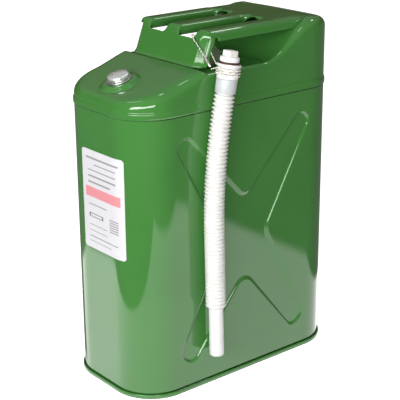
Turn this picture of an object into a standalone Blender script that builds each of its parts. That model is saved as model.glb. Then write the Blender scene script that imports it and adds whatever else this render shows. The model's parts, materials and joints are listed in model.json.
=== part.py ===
"""An upright steel fuel can of the 20 litre size, with a corrugated pouring nozzle hung on its side.

Metres, +Z up. The origin is the centre of the footprint on the floor. X is the can's width and Y its
length. The filler is at the -Y end and the nozzle hangs on the +X side.
"""

import math

import bmesh
import bpy
from mathutils import Matrix, Vector

# The tank
WIDTH = 0.176
LENGTH = 0.346
CORNER = 0.0565  # radius of the four upright corners
SHEET = 0.001
GAP = 0.0003  # clearance between pieces that touch on the real can
WALL_BOTTOM = 0.0035  # the wall stands in the fold of the base
WALL_TOP = 0.3867  # and ends inside the skirt of the top shell
CORNER_STEPS = 10
RIM_PROUD = 0.003  # how far the seam of the base stands out of the wall
RIM_HEIGHT = 0.006
FLOOR_UP = 0.004  # height of the base's outer field above the ground
PAD_INSET = 0.016  # the middle of the base is pressed down to the ground this far inside the wall
SEAM = 0.380  # height at which the top shell laps over the wall
SKIRT_HEIGHT = 0.008
SKIRT_PROUD = 0.0013

# The star pressed into each side: half of its outline, from the top down, as (y, z, radius)
STAR_HALF = (
    (0.000, 0.251, 0.012),
    (0.097, 0.354, 0.0125),
    (0.117, 0.340, 0.0125),
    (0.037, 0.197, 0.022),
    (0.113, 0.0515, 0.013),
    (0.089, 0.0345, 0.013),
    (0.000, 0.1430, 0.016),
)
STAR_DEPTH = 0.0035
STAR_DRAFT = 0.003  # how far the pocket's sides lean in over its depth

# The top shell's outline from the side
SLOPE_TOP_Y = -0.069
SLOPE_TOP_Z = 0.430
SLOPE = 0.295  # rise over run of the filler's slope
SLOPE_ANGLE = math.atan(SLOPE)
FRONT_FILLET = 0.016
FRONT_SHARE = 0.66  # the share of that fillet's drop that is left above the seam
SCOOP_FLOOR = 0.426
SCOOP_START = -0.060
SCOOP_RISE_START = 0.032
SCOOP_RISE_END = 0.130
PLATEAU = 0.4737
REAR_FALL_START, REAR_FALL = 0.134, 0.20  # behind the bridge the top falls away, as a slope
REAR_FILLET = 0.013
EDGE_SLOPE, EDGE_SCOOP, EDGE_PLATEAU = 0.018, 0.005, 0.013  # fillet radii of the long edges

# The handle bridge: a front wall, three bars and the plate that joins them at the back
BRIDGE_HALF = 0.0735
BRIDGE_TOP = 0.475
WALL_FOOT_Y = -0.0645
WALL_FOOT_Z = 0.4312
WALL_TOP_Y = -0.0480
WALL_SHEET = 0.0012
WALL_FLANGE = 0.008  # how far the wall's side edges turn back
BAR_WIDTH = 0.026
BAR_EDGE = 0.461  # height of the bars' lower edges
BAR_X = (-0.0605, 0.0, 0.0605)
BAR_END_Y = 0.064
BRIDGE_END_Y = 0.132
BRIDGE_CORNER = 0.026
VALLEY = 0.4635  # height of the front wall between two bars

# The filler, measured along its own axis from a point that far above the slope
FILLER_Y = -0.1344
FILLER_RISE = 0.003
BOSS_RADIUS, BOSS_TOP_RADIUS = 0.0275, 0.0215
BOSS_HEIGHT = 0.0012
NECK_OUTER, NECK_BORE = 0.0115, 0.0097
NECK_CREST = 0.0122
NECK_DEPTH, NECK_RIM = 0.012, 0.0056
NECK_FLANGE = 0.0165
CAP_RADIUS, CAP_TOP = 0.0143, 0.0110
CAP_DOME = 0.0026  # how far the cap's top falls from its middle to its edge
GASKET_THICK, LINER_THICK = 0.0011, 0.0006

# The nozzle. Its axis lies in one upright plane beside the tank.
NOZZLE_X = 0.104
HOSE_TOP_Z = 0.403
HOSE_TOP_Y = -0.0489
HOSE_MID_Z = 0.237
HOSE_MID_Y = -0.0672
HOSE_END_Z = 0.116
SPOUT_END_Y = -0.0633
SPOUT_END_Z = 0.0485
HOSE_RADIUS = 0.0133
HOSE_WALL = 0.0016
SPOUT_RADIUS = 0.0097
BEND_CLEARANCE = 0.0052  # each half of the hose stops this far from the bend's pivot
KNUCKLE_CLEARANCE = 0.0005
HEAD_LEAN = 0.18  # run over rise of the axis of the nozzle's head
UNION_RADIUS = 0.0139
UNION_FLANGE = 0.0158
UNION_LOW, UNION_HIGH = 0.0180, 0.0365  # measured along the head's axis, as are the other heights on it
UNION_BORE = 0.0103
UNION_CHAMBER = 0.0128
CUFF_TOP_RADIUS, CUFF_RADIUS = 0.0137, 0.0131
PLUG_RADIUS = 0.0123
PLUG_SQUARE = 0.0144  # width of the square head
PLUG_LOW, PLUG_STEP, PLUG_HIGH = 0.0391, 0.0455, 0.0532

# The ball chain from the near bar to the nozzle's head
CHAIN_RADIUS = 0.0011
COUPLER_RADIUS = 0.0019
COUPLER_START = (0.0770, -0.0615, 0.4480)
COUPLER_END = (0.0893, -0.0602, 0.4352)
LOOP_RADIUS = 0.0152
LOOP_WIRE = 0.0009
LOOP_START = 0.0310
LOOP_PITCH = 0.0030
LOOP_TURNS = 2.3

# The label on the front wall
LABEL_X = (-0.034, 0.052)
LABEL_Z = (0.192, 0.327)
LABEL_THICK = 0.0004

PARTS_NAME = "fuel_can"
CUTTERS_NAME = "cutters"


def clear_scene():
    for obj in list(bpy.data.objects):
        bpy.data.objects.remove(obj, do_unlink=True)


def new_collection(name, hidden=False):
    made = bpy.data.collections.new(name)
    made.hide_render = hidden
    bpy.context.scene.collection.children.link(made)
    return made


def new_material(name, colour, roughness, metallic=0.0):
    made = bpy.data.materials.new(name)
    made.use_nodes = True
    shader = made.node_tree.nodes["Principled BSDF"]
    shader.inputs["Base Color"].default_value = (*colour, 1.0)
    shader.inputs["Roughness"].default_value = roughness
    shader.inputs["Metallic"].default_value = metallic
    made.diffuse_color = (*colour, 1.0)
    return made


def place(name, data, material=None, matrix=None):
    """Puts the data in the scene: a part if it has a material, and a cutter if it has none."""
    obj = bpy.data.objects.new(name, data)
    if material is None:
        bpy.data.collections[CUTTERS_NAME].objects.link(obj)
        obj.hide_render = True
        obj.display_type = "WIRE"
    else:
        bpy.data.collections[PARTS_NAME].objects.link(obj)
        data.materials.append(material)
    if matrix is not None:
        obj.matrix_world = matrix
    return obj


def mesh_from(name, bm):
    bmesh.ops.recalc_face_normals(bm, faces=bm.faces)
    mesh = bpy.data.meshes.new(name)
    bm.to_mesh(mesh)
    bm.free()
    return mesh


def smooth(obj, angle=math.radians(35)):
    obj.data.shade_smooth()
    obj.data.set_sharp_from_angle(angle=angle)
    return obj


def cut(obj, cutter, operation="DIFFERENCE"):
    modifier = obj.modifiers.new(f"{operation.lower()}_{cutter.name}", "BOOLEAN")
    modifier.operation = operation
    modifier.solver = "EXACT"
    modifier.object = cutter


def block(name, low, high, corner=0.0, material=None, steps=CORNER_STEPS):
    """A box between two corner points, with its upright edges rounded."""
    bm = bmesh.new()
    bmesh.ops.create_cube(bm, size=1.0)
    size = Vector(high) - Vector(low)
    bmesh.ops.scale(bm, vec=size, verts=bm.verts)
    bmesh.ops.translate(bm, vec=(Vector(high) + Vector(low)) / 2, verts=bm.verts)
    if corner:
        upright = [e for e in bm.edges if abs(e.verts[0].co.z - e.verts[1].co.z) > size.z / 2]
        bmesh.ops.bevel(
            bm, geom=upright, offset=corner, segments=steps, profile=0.5, affect="EDGES"
        )
    return place(name, mesh_from(name, bm), material)


def tank_block(name, grow, z0, z1, material=None):
    """A block with the tank's plan, grown outwards by the given distance."""
    x, y = WIDTH / 2 + grow, LENGTH / 2 + grow
    return block(name, (-x, -y, z0), (x, y, z1), CORNER + grow, material)


def prism(name, outline, axis, low, high, material=None):
    """An outline in the plane across an axis ("X" or "Y"), extruded between two places on it."""
    bm = bmesh.new()
    ends = []
    for at in (low, high):
        points = [(at, a, b) if axis == "X" else (a, at, b) for a, b in outline]
        ends.append([bm.verts.new(p) for p in points])
    for i in range(len(outline)):
        j = (i + 1) % len(outline)
        bm.faces.new((ends[0][i], ends[0][j], ends[1][j], ends[1][i]))
    for end in ends:
        bm.faces.new(end)
    return place(name, mesh_from(name, bm), material)


def turned(name, profile, matrix, material=None, steps=32):
    """A turned piece from (radius, height) points that run down its outer side and up its bore."""
    mesh = bpy.data.meshes.new(name)
    points = [(radius, 0.0, height) for radius, height in profile]
    edges = [(i, i + 1) for i in range(len(points) - 1)]
    if profile[0][0] > 0:
        edges.append((len(points) - 1, 0))
    mesh.from_pydata(points, edges, [])
    obj = place(name, mesh, material, matrix)
    screw = obj.modifiers.new("turn", "SCREW")
    screw.steps = screw.render_steps = steps
    screw.use_merge_vertices = True
    screw.merge_threshold = 0.00001
    screw.use_smooth_shade = True
    return obj


def pipe(name, points, radius, material, wall=0.0, sides=3):
    """A pipe or a wire along points, as an outer radius and, where it is hollow, a wall."""
    curve = bpy.data.curves.new(name, "CURVE")
    curve.dimensions = "3D"
    curve.bevel_depth = radius
    curve.bevel_resolution = sides
    curve.use_fill_caps = wall == 0.0
    spline = curve.splines.new("POLY")
    spline.points.add(len(points) - 1)
    for point, at in zip(spline.points, points):
        point.co = (*at, 1.0)
    obj = place(name, curve, material)
    if wall:
        hollow = obj.modifiers.new("wall", "SOLIDIFY")
        hollow.thickness = wall
        hollow.offset = -1.0
    return obj


def axis_frame(origin, direction):
    """A frame at a point, with its Z along a direction in the YZ plane and its X along X."""
    z = Vector(direction).normalized()
    x = Vector((1.0, 0.0, 0.0))
    y = z.cross(x)
    rotation = Matrix((x, y, z)).transposed().to_4x4()
    return Matrix.Translation(Vector(origin)) @ rotation


def carry(name, at, pieces):
    """An empty on a joint's axis that carries the pieces which move on it."""
    empty = bpy.data.objects.new(name, None)
    empty.location = at
    empty.empty_display_size = 0.01
    bpy.data.collections[PARTS_NAME].objects.link(empty)
    bpy.context.view_layer.update()
    for piece in pieces:
        piece.parent = empty
        piece.matrix_parent_inverse = empty.matrix_world.inverted()
    return empty


def grown_outline(points, distance):
    """A closed outline with each corner, (a, b, radius), moved so that its sides go out by a distance."""
    made = []
    for i, (a, b, radius) in enumerate(points):
        here = Vector((a, b))
        before = (here - Vector(points[i - 1][:2])).normalized()
        after = (Vector(points[(i + 1) % len(points)][:2]) - here).normalized()
        out_before = Vector((-before.y, before.x))
        out_after = Vector((-after.y, after.x))
        mitre = (out_before + out_after).normalized()
        turn = before.x * after.y - before.y * after.x
        reach = distance / mitre.dot(out_before)
        grown = radius + (distance if turn < 0 else -distance)
        made.append((here.x + mitre.x * reach, here.y + mitre.y * reach, max(grown, 0.002)))
    return made


def rounded_outline(points, steps=4):
    """The outline of (a, b, radius) corners with an arc at each corner."""
    made = []
    for i, (a, b, radius) in enumerate(points):
        here = Vector((a, b))
        before = (Vector(points[i - 1][:2]) - here).normalized()
        after = (Vector(points[(i + 1) % len(points)][:2]) - here).normalized()
        half = before.angle(after) / 2
        centre = here + (before + after).normalized() * radius / math.sin(half)
        start = here + before * radius / math.tan(half) - centre
        end = here + after * radius / math.tan(half) - centre
        sweep = start.angle_signed(end)
        for step in range(steps + 1):
            arm = start.copy()
            arm.rotate(Matrix.Rotation(-sweep * step / steps, 2))
            made.append((centre.x + arm.x, centre.y + arm.y))
    return made


def star_block(name, side, grow):
    """The star's pocket on one side of the tank, grown by a sheet's thickness for the inner surface."""
    other_half = [(-y, z, r) for y, z, r in reversed(STAR_HALF[1:-1])]
    star = list(STAR_HALF) + other_half
    surface = WIDTH / 2
    reach = STAR_DEPTH + grow
    bm = bmesh.new()
    rings = []
    for x, spread in ((surface + STAR_DEPTH, STAR_DRAFT), (surface - reach, -STAR_DRAFT)):
        outline = rounded_outline(grown_outline(star, spread + grow))
        rings.append([bm.verts.new((side * x, y, z)) for y, z in outline])
    for i in range(len(rings[0])):
        j = (i + 1) % len(rings[0])
        bm.faces.new((rings[0][i], rings[0][j], rings[1][j], rings[1][i]))
    for ring in rings:
        bm.faces.new(ring)
    return place(name, mesh_from(name, bm))


def body_shell(paint):
    wall = tank_block("body_shell", 0.0, WALL_BOTTOM, WALL_TOP, paint)
    void = tank_block("body_void", -SHEET, WALL_BOTTOM - 0.01, WALL_TOP + 0.01)
    for side, word in ((-1, "left"), (1, "right")):
        cut(wall, star_block(f"star_{word}", side, 0.0))
        cut(void, star_block(f"star_{word}_inner", side, SHEET))
    cut(wall, void)
    return smooth(wall)


def bottom_plate(paint):
    """The base: a seam folded round the foot of the wall, and a floor pressed down in the middle."""
    groove_low = WALL_BOTTOM - GAP
    leg = -SHEET - GAP  # where the seam's inner fold starts, inside the wall
    plate = tank_block("bottom_plate", RIM_PROUD, 0.0, RIM_HEIGHT, paint)
    bevel = plate.modifiers.new("rolled_edges", "BEVEL")
    bevel.width = 0.0009
    bevel.segments = 2
    bevel.limit_method = "ANGLE"
    bevel.angle_limit = math.radians(60)
    groove = tank_block("groove", GAP, groove_low, RIM_HEIGHT + 0.01)
    cut(groove, tank_block("groove_core", leg, groove_low - 0.01, RIM_HEIGHT + 0.02))
    cut(plate, groove)
    cut(plate, tank_block("above_floor", leg - SHEET, FLOOR_UP + SHEET, RIM_HEIGHT + 0.01))
    moat = tank_block("below_floor", leg - SHEET, -0.01, FLOOR_UP)
    cut(moat, tank_block("pad", -PAD_INSET, -0.02, FLOOR_UP + 0.01))
    cut(plate, moat)
    cut(plate, tank_block("above_pad", -PAD_INSET - SHEET, SHEET, RIM_HEIGHT + 0.02))
    return smooth(plate)


def slope_height(y):
    return SLOPE_TOP_Z + SLOPE * (y - SLOPE_TOP_Y)


def rounded_end(y, end, radius):
    """How far a fillet at an end wall has dropped below the surface at y."""
    inside = min(abs(end - y), radius)
    return radius - math.sqrt(radius**2 - (radius - inside) ** 2)


def top_height(y):
    """The height of the top shell along its centre line."""
    if y <= SLOPE_TOP_Y:
        return slope_height(y) - rounded_end(y, -LENGTH / 2, FRONT_FILLET) * FRONT_SHARE
    if y <= SCOOP_START:
        share = (y - SLOPE_TOP_Y) / (SCOOP_START - SLOPE_TOP_Y)
        return SLOPE_TOP_Z + (SCOOP_FLOOR - SLOPE_TOP_Z) * share
    share = (y - SCOOP_RISE_START) / (SCOOP_RISE_END - SCOOP_RISE_START)
    share = min(max(share, 0.0), 1.0)
    height = SCOOP_FLOOR + (PLATEAU - SCOOP_FLOOR) * (1 - math.cos(math.pi * share)) / 2
    height -= REAR_FALL * max(y - REAR_FALL_START, 0.0)
    return height - rounded_end(y, LENGTH / 2, REAR_FILLET)


def edge_radius(y):
    """The fillet radius of the top shell's long edges."""
    if y <= SLOPE_TOP_Y - 0.010:
        return EDGE_SLOPE
    if y <= SCOOP_RISE_START:
        share = min((y - SLOPE_TOP_Y + 0.010) / 0.020, 1.0)
        return EDGE_SLOPE + (EDGE_SCOOP - EDGE_SLOPE) * share
    share = min((y - SCOOP_RISE_START) / (SCOOP_RISE_END - SCOOP_RISE_START), 1.0)
    return EDGE_SCOOP + (EDGE_PLATEAU - EDGE_SCOOP) * share


def half_width(y):
    into_corner = abs(y) - (LENGTH / 2 - CORNER)
    if into_corner <= 0:
        return WIDTH / 2
    return WIDTH / 2 - CORNER + math.sqrt(max(CORNER**2 - into_corner**2, 0.0))


def top_stations():
    """Places along Y where the top shell's cross-section is drawn."""
    corner_start = LENGTH / 2 - CORNER
    arc = [corner_start + CORNER * math.sin(math.radians(a)) for a in (0, 20, 38, 52, 64, 74, 82, 90)]
    rise = [
        SCOOP_RISE_START + (SCOOP_RISE_END - SCOOP_RISE_START) * step / 9 for step in range(10)
    ]
    wall = [SLOPE_TOP_Y - 0.014, SLOPE_TOP_Y, SCOOP_START, SCOOP_START + 0.02]
    front = [-y for y in arc]
    rear = [y for y in arc if y > SCOOP_RISE_END]
    return sorted(front + wall + rise + rear)


def top_section(y, base):
    """Half of the cross-section at y, from its foot up and in to the centre line, as (x, z)."""
    wide = half_width(y)
    high = top_height(y)
    radius = min(edge_radius(y), (high - base) * 0.8)
    points = [(wide, base)]
    for step in range(5):
        angle = math.pi / 2 * step / 4
        x = wide - radius * (1 - math.cos(angle))
        points.append((x, high - radius * (1 - math.sin(angle))))
    return points


def top_shell(paint, filler):
    base = SEAM + SKIRT_HEIGHT
    bm = bmesh.new()
    rows = []
    for y in top_stations():
        half = top_section(y, base)
        row = [(x, z) for x, z in half] + [(-x, z) for x, z in reversed(half)]
        rows.append([bm.verts.new((x, y, z)) for x, z in row])
    for first, second in zip(rows, rows[1:]):
        for i in range(len(first) - 1):
            bm.faces.new((first[i], first[i + 1], second[i + 1], second[i]))
    bm.faces.new(rows[0])
    bm.faces.new(rows[-1])
    shell = place("top_shell", mesh_from("top_shell", bm), paint)
    sheet = shell.modifiers.new("sheet", "SOLIDIFY")
    sheet.thickness = SHEET
    sheet.offset = -1.0
    sheet.use_even_offset = True
    skirt = tank_block("skirt", SKIRT_PROUD, SEAM, base + 0.0006)
    cut(skirt, tank_block("skirt_lap", GAP, SEAM - 0.01, base - 0.001))
    cut(skirt, tank_block("skirt_bore", -SHEET * 0.9, SEAM - 0.02, base + 0.02))
    cut(shell, skirt, "UNION")
    cut(shell, turned("boss", boss_profile(0.0, FILLER_RISE + SHEET * 0.6), filler), "UNION")
    cut(shell, turned("boss_hollow", boss_profile(SHEET, FILLER_RISE + 2 * SHEET), filler))
    hole = NECK_OUTER + GAP
    bore = [(0.0, 0.02), (hole, 0.02), (hole, -0.02), (0.0, -0.02)]
    cut(shell, turned("neck_hole", bore, filler))
    return smooth(shell)


def boss_profile(sheet, depth):
    """The raised ring round the neck, its outer surface or the inner one a sheet's thickness below."""
    return [
        (0.0, BOSS_HEIGHT - sheet),
        (BOSS_TOP_RADIUS - sheet * 0.6, BOSS_HEIGHT - sheet),
        (BOSS_RADIUS - sheet * 1.2, -FILLER_RISE),
        (BOSS_RADIUS - sheet * 1.2, -depth),
        (0.0, -depth),
    ]


def bar_outline(centre, width, low, high, radius):
    """The cross-section of a bar: square below and rounded along its upper edges, as (x, z)."""
    left, right = centre - width / 2, centre + width / 2
    points = [(left, low), (right, low)]
    for middle, start in ((right - radius, 0), (left + radius, 90)):
        for step in range(5):
            angle = math.radians(start + 90 * step / 4)
            points.append((middle + radius * math.cos(angle), high - radius + radius * math.sin(angle)))
    return points


def handle_bridge(paint):
    """One pressing: the wall that faces the filler, the three bars and the plate behind them."""
    outline = [(WALL_FOOT_Y, WALL_FOOT_Z), (WALL_TOP_Y, BRIDGE_TOP)]
    outline += [(BRIDGE_END_Y + 0.01, BRIDGE_TOP), (BRIDGE_END_Y + 0.01, WALL_FOOT_Z)]
    bridge = prism("handle_bridge", outline, "X", -BRIDGE_HALF, BRIDGE_HALF, paint)
    crown = bar_outline(0.0, 2 * BRIDGE_HALF, WALL_FOOT_Z - 0.01, BRIDGE_TOP, 0.009)
    cut(bridge, prism("crown", crown, "Y", -0.1, 0.2), "INTERSECT")
    low, high = (-BRIDGE_HALF, -0.2, 0.3), (BRIDGE_HALF, BRIDGE_END_Y, 0.6)
    cut(bridge, block("bridge_plan", low, high, BRIDGE_CORNER), "INTERSECT")
    inside = BRIDGE_HALF - WALL_SHEET
    rear = BRIDGE_END_Y + 0.03
    cut(bridge, behind_wall("under_bars", WALL_SHEET, BAR_EDGE + 0.0004, -inside, inside, rear))
    cut(bridge, behind_wall("under_sides", WALL_FLANGE, BAR_EDGE, -0.1, 0.1, rear))
    for number, (left, right) in enumerate(zip(BAR_X, BAR_X[1:])):
        left, right = left + BAR_WIDTH / 2, right - BAR_WIDTH / 2
        cut(bridge, slot(f"slot_{number}", left, right))
        above = BRIDGE_TOP + 0.02
        cut(bridge, behind_wall(f"slot_open_{number}", WALL_SHEET, above, left, right, BAR_END_Y))
    for number, x in enumerate(BAR_X):
        wide = BAR_WIDTH - 2 * WALL_SHEET
        hollow = bar_outline(x, wide, BAR_EDGE - 0.01, BRIDGE_TOP - WALL_SHEET, 0.0078)
        start = WALL_TOP_Y + WALL_SHEET
        cut(bridge, prism(f"bar_hollow_{number}", hollow, "Y", start, BAR_END_Y + 0.005))
    low = (-inside, BAR_END_Y + WALL_SHEET, BAR_EDGE - 0.02)
    high = (inside, BRIDGE_END_Y - WALL_SHEET, BRIDGE_TOP - WALL_SHEET)
    cut(bridge, plate_hollow(low, high))
    cut(bridge, top_clearance())
    return smooth(bridge)


def behind_wall(name, sheet, high, left, right, rear):
    """The space behind the front wall and below a height, back to a place on Y."""
    lean = (WALL_TOP_Y - WALL_FOOT_Y) / (BRIDGE_TOP - WALL_FOOT_Z)
    low = WALL_FOOT_Z - 0.01
    outline = [
        (WALL_FOOT_Y + sheet - 0.01 * lean, low),
        (WALL_FOOT_Y + sheet + (high - WALL_FOOT_Z) * lean, high),
        (rear, high),
        (rear, low),
    ]
    return prism(name, outline, "X", left, right)


def slot(name, left, right):
    """The opening between two bars. It dips into the top of the front wall."""
    dip = 0.007
    above = BRIDGE_TOP + 0.01
    outline = [(left, above), (left, VALLEY + dip), (left + dip / 3, VALLEY + dip / 3)]
    outline += [(left + dip, VALLEY), (right - dip, VALLEY), (right - dip / 3, VALLEY + dip / 3)]
    outline += [(right, VALLEY + dip), (right, above)]
    return prism(name, outline, "Y", WALL_FOOT_Y - 0.02, BAR_END_Y)


def plate_hollow(low, high):
    """The inside of the plate behind the bars, with its rear corners rounded."""
    hollow = block("plate_hollow", low, high)
    plan = block("plate_plan", (low[0], -0.2, 0.3), high[:2] + (0.6,), BRIDGE_CORNER - WALL_SHEET)
    crown = bar_outline(0.0, high[0] - low[0], low[2] - 0.01, high[2], 0.0078)
    cut(hollow, plan, "INTERSECT")
    cut(hollow, prism("plate_crown", crown, "Y", -0.1, 0.2), "INTERSECT")
    return hollow


def top_clearance():
    """Everything under the top shell's outer surface and the clearance above it."""
    stations = [y for y in top_stations() if SLOPE_TOP_Y - 0.001 < y < BRIDGE_END_Y + 0.02]
    outline = [(y, top_height(y) + GAP) for y in stations]
    outline += [(stations[-1], 0.40), (stations[0], 0.40)]
    return prism("under_bridge", outline, "X", -0.1, 0.1)


def filler_neck(steel, filler):
    profile = [(NECK_BORE, NECK_RIM), (NECK_OUTER, NECK_RIM)]
    for height in (0.0048, 0.0036):
        profile += [(NECK_OUTER, height + 0.0005), (NECK_CREST, height), (NECK_OUTER, height - 0.0005)]
    flange_low = BOSS_HEIGHT + GAP
    profile += [
        (NECK_OUTER, flange_low + 0.0012),
        (NECK_FLANGE, flange_low + 0.0012),
        (NECK_FLANGE, flange_low),
        (NECK_OUTER, flange_low),
        (NECK_OUTER, -NECK_DEPTH),
        (NECK_BORE, -NECK_DEPTH),
    ]
    return smooth(turned("filler_neck", profile, filler, steel))


def filler_cap(chrome, filler):
    """The cap: a domed top that stands out over a plain skirt."""
    ceiling = NECK_RIM + GASKET_THICK + LINER_THICK + 3 * GAP
    skirt, foot, bore = 0.0136, 0.0034, 0.0127
    profile = []
    for step in range(6):
        share = step / 5
        profile.append((CAP_RADIUS * share, CAP_TOP - CAP_DOME * share**2))
    profile += [(CAP_RADIUS, 0.0071), (skirt, 0.0064), (skirt, foot), (bore, foot)]
    profile += [(bore, ceiling), (0.0, ceiling)]
    return smooth(turned("filler_cap", profile, filler, chrome))


def cap_liner(steel, filler):
    low = NECK_RIM + GASKET_THICK + 2 * GAP
    radius = 0.0123
    profile = [(0.0, low + LINER_THICK), (radius, low + LINER_THICK), (radius, low), (0.0, low)]
    return smooth(turned("cap_liner", profile, filler, steel))


def cap_gasket(rubber, filler):
    low = NECK_RIM + GAP
    high = low + GASKET_THICK
    outer, inner = 0.0122, 0.0092
    profile = [(inner, high), (outer, high), (outer, low), (inner, low)]
    return smooth(turned("cap_gasket", profile, filler, rubber))


def breather_tube(steel):
    """A thin tube from beside the neck to the air space under the rear of the top."""
    points = [(0.007, -0.118, 0.396), (0.007, -0.100, 0.404), (0.007, -0.070, 0.412)]
    points += [(0.007, 0.030, 0.414), (0.007, 0.070, 0.428), (0.007, 0.112, 0.456)]
    return pipe("breather_tube", points, 0.003, steel, wall=0.0007, sides=2)


def front_label(vinyl):
    low = (LABEL_X[0], -0.2, LABEL_Z[0])
    high = (LABEL_X[1], -0.1, LABEL_Z[1])
    label = tank_block("front_label", GAP + LABEL_THICK, 0.17, 0.35, vinyl)
    cut(label, tank_block("label_back", GAP, 0.16, 0.36))
    cut(label, block("label_window", low, high), "INTERSECT")
    return label


def hose_y(z):
    """The hose's axis: a gentle bow above the bend, and straight below it."""
    if z > HOSE_MID_Z:
        share = (z - HOSE_MID_Z) / (HOSE_TOP_Z - HOSE_MID_Z)
        return HOSE_MID_Y + (HOSE_TOP_Y - HOSE_MID_Y) * share**2
    share = (HOSE_MID_Z - z) / (HOSE_MID_Z - SPOUT_END_Z)
    return HOSE_MID_Y + (SPOUT_END_Y - HOSE_MID_Y) * share


def hose_points(high, low, count):
    heights = [high + (low - high) * i / (count - 1) for i in range(count)]
    return [(NOZZLE_X, hose_y(z), z) for z in heights]


def hose_upper(plastic):
    points = hose_points(HOSE_TOP_Z - 0.0006, HOSE_MID_Z + BEND_CLEARANCE, 9)
    return pipe("hose_upper", points, HOSE_RADIUS, plastic, HOSE_WALL, sides=4)


def hose_lower(plastic, bend):
    """The lower hose, from the bend's pivot down. A ball inside the upper hose fills the bend."""
    length = math.dist((HOSE_MID_Y, HOSE_MID_Z), (hose_y(HOSE_END_Z), HOSE_END_Z))
    bore = HOSE_RADIUS - HOSE_WALL
    ball = bore - KNUCKLE_CLEARANCE
    lowest = math.pi / 2 + math.asin(BEND_CLEARANCE / ball)
    profile = []
    for step in range(9):
        angle = lowest * step / 8
        profile.append((ball * math.sin(angle), ball * math.cos(angle)))
    lip = SPOUT_RADIUS + GAP
    profile += [
        (HOSE_RADIUS, -BEND_CLEARANCE),
        (HOSE_RADIUS, -length),
        (lip, -length),
        (lip, -length + 0.003),
        (bore, -length + 0.003),
        (bore, -0.012),
        (0.0, -0.012),
    ]
    return smooth(turned("hose_lower", profile, bend, plastic))


def spout_tube(plastic):
    """The smooth end of the nozzle. It reaches a little way up inside the hose."""
    top = HOSE_END_Z + 0.020
    points = [(NOZZLE_X, hose_y(top), top), (NOZZLE_X, SPOUT_END_Y, SPOUT_END_Z)]
    return pipe("spout_tube", points, SPOUT_RADIUS, plastic, wall=0.0015, sides=4)


def hose_connector(plastic, head):
    """The smooth cuff above the hose, with the neck and flange that the union nut turns on."""
    profile = [
        (0.0125, 0.0210),
        (0.0125, 0.0195),
        (0.0100, 0.0195),
        (0.0100, UNION_LOW - GAP),
        (CUFF_TOP_RADIUS, UNION_LOW - GAP),
        (CUFF_RADIUS, 0.0000),
        (0.0108, 0.0000),
        (0.0108, 0.0120),
        (0.0075, 0.0150),
        (0.0075, 0.0210),
    ]
    return smooth(turned("hose_connector", profile, head, plastic))


def nozzle_washer(rubber, head):
    profile = [(0.0124, 0.0230), (0.0124, 0.0213), (0.0075, 0.0213), (0.0075, 0.0230)]
    return smooth(turned("nozzle_washer", profile, head, rubber))


def union_nut(plastic, head):
    profile = [
        (UNION_FLANGE, UNION_HIGH),
        (UNION_FLANGE, UNION_HIGH - 0.0030),
        (UNION_RADIUS, UNION_HIGH - 0.0035),
        (UNION_RADIUS, UNION_LOW),
        (UNION_BORE, UNION_LOW),
        (UNION_BORE, 0.0192),
        (UNION_CHAMBER, 0.0192),
        (UNION_CHAMBER, 0.0235),
        (UNION_BORE, 0.0240),
        (UNION_BORE, UNION_HIGH),
    ]
    return smooth(turned("union_nut", profile, head, plastic))


def plug_gasket(rubber, head):
    low, high = UNION_HIGH + GAP, PLUG_LOW - GAP
    profile = [(0.0132, high), (0.0132, low), (0.0103, low), (0.0103, high)]
    return smooth(turned("plug_gasket", profile, head, rubber))


def nozzle_plug(plastic, head):
    """The stopper: a hollow shank, a round flange and a square head."""
    profile = [
        (PLUG_RADIUS, PLUG_STEP),
        (PLUG_RADIUS, PLUG_LOW),
        (0.0100, PLUG_LOW),
        (0.0100, 0.0240),
        (0.0070, 0.0240),
        (0.0070, PLUG_STEP),
    ]
    plug = turned("nozzle_plug", profile, head, plastic)
    half = PLUG_SQUARE / 2
    low, high = (-half, -half, PLUG_STEP - 0.0015), (half, half, PLUG_HIGH)
    square = block("plug_square", low, high, 0.0012, None, 2)
    square.matrix_world = head
    cut(plug, square, "UNION")
    return smooth(plug)


def ball_chain(nickel):
    """The chain: from the coupler up over the front wall, and back behind it to the nozzle."""
    points = [
        Vector(COUPLER_START) + Vector((-0.0006, 0.0001, 0.0004)),
        (0.0630, -0.0585, 0.4570),
        (0.0500, -0.0555, 0.4655),
        (0.0435, -0.0520, 0.4675),
        (0.0420, -0.0480, 0.4670),
        (0.0430, -0.0435, 0.4620),
        (0.0480, -0.0410, 0.4575),
        (0.0600, -0.0405, 0.4550),
        (0.0710, -0.0445, 0.4500),
        (0.0780, -0.0470, 0.4440),
        (0.0820, -0.0470, 0.4398),
        (0.0845, -0.0458, 0.4355),
    ]
    return pipe("ball_chain", points, CHAIN_RADIUS, nickel, sides=2)


def chain_coupler(nickel):
    return pipe("chain_coupler", [COUPLER_START, COUPLER_END], COUPLER_RADIUS, nickel, sides=3)


def tether_loop(nickel, head):
    """The end of the tether: a short lead from the coupler, and turns laid round the union nut."""
    lead = head.inverted() @ (Vector(COUPLER_END) + Vector((0.0013, 0.0002, -0.0012)))
    start_angle = math.atan2(lead.y, lead.x) + math.radians(22)
    points = [lead]
    steps = 16
    for step in range(int(steps * LOOP_TURNS) + 1):
        angle = start_angle + 2 * math.pi * step / steps
        height = LOOP_START - LOOP_PITCH * step / steps
        points.append(Vector((LOOP_RADIUS * math.cos(angle), LOOP_RADIUS * math.sin(angle), height)))
    return pipe("tether_loop", [head @ Vector(p) for p in points], LOOP_WIRE, nickel, sides=2)


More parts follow.
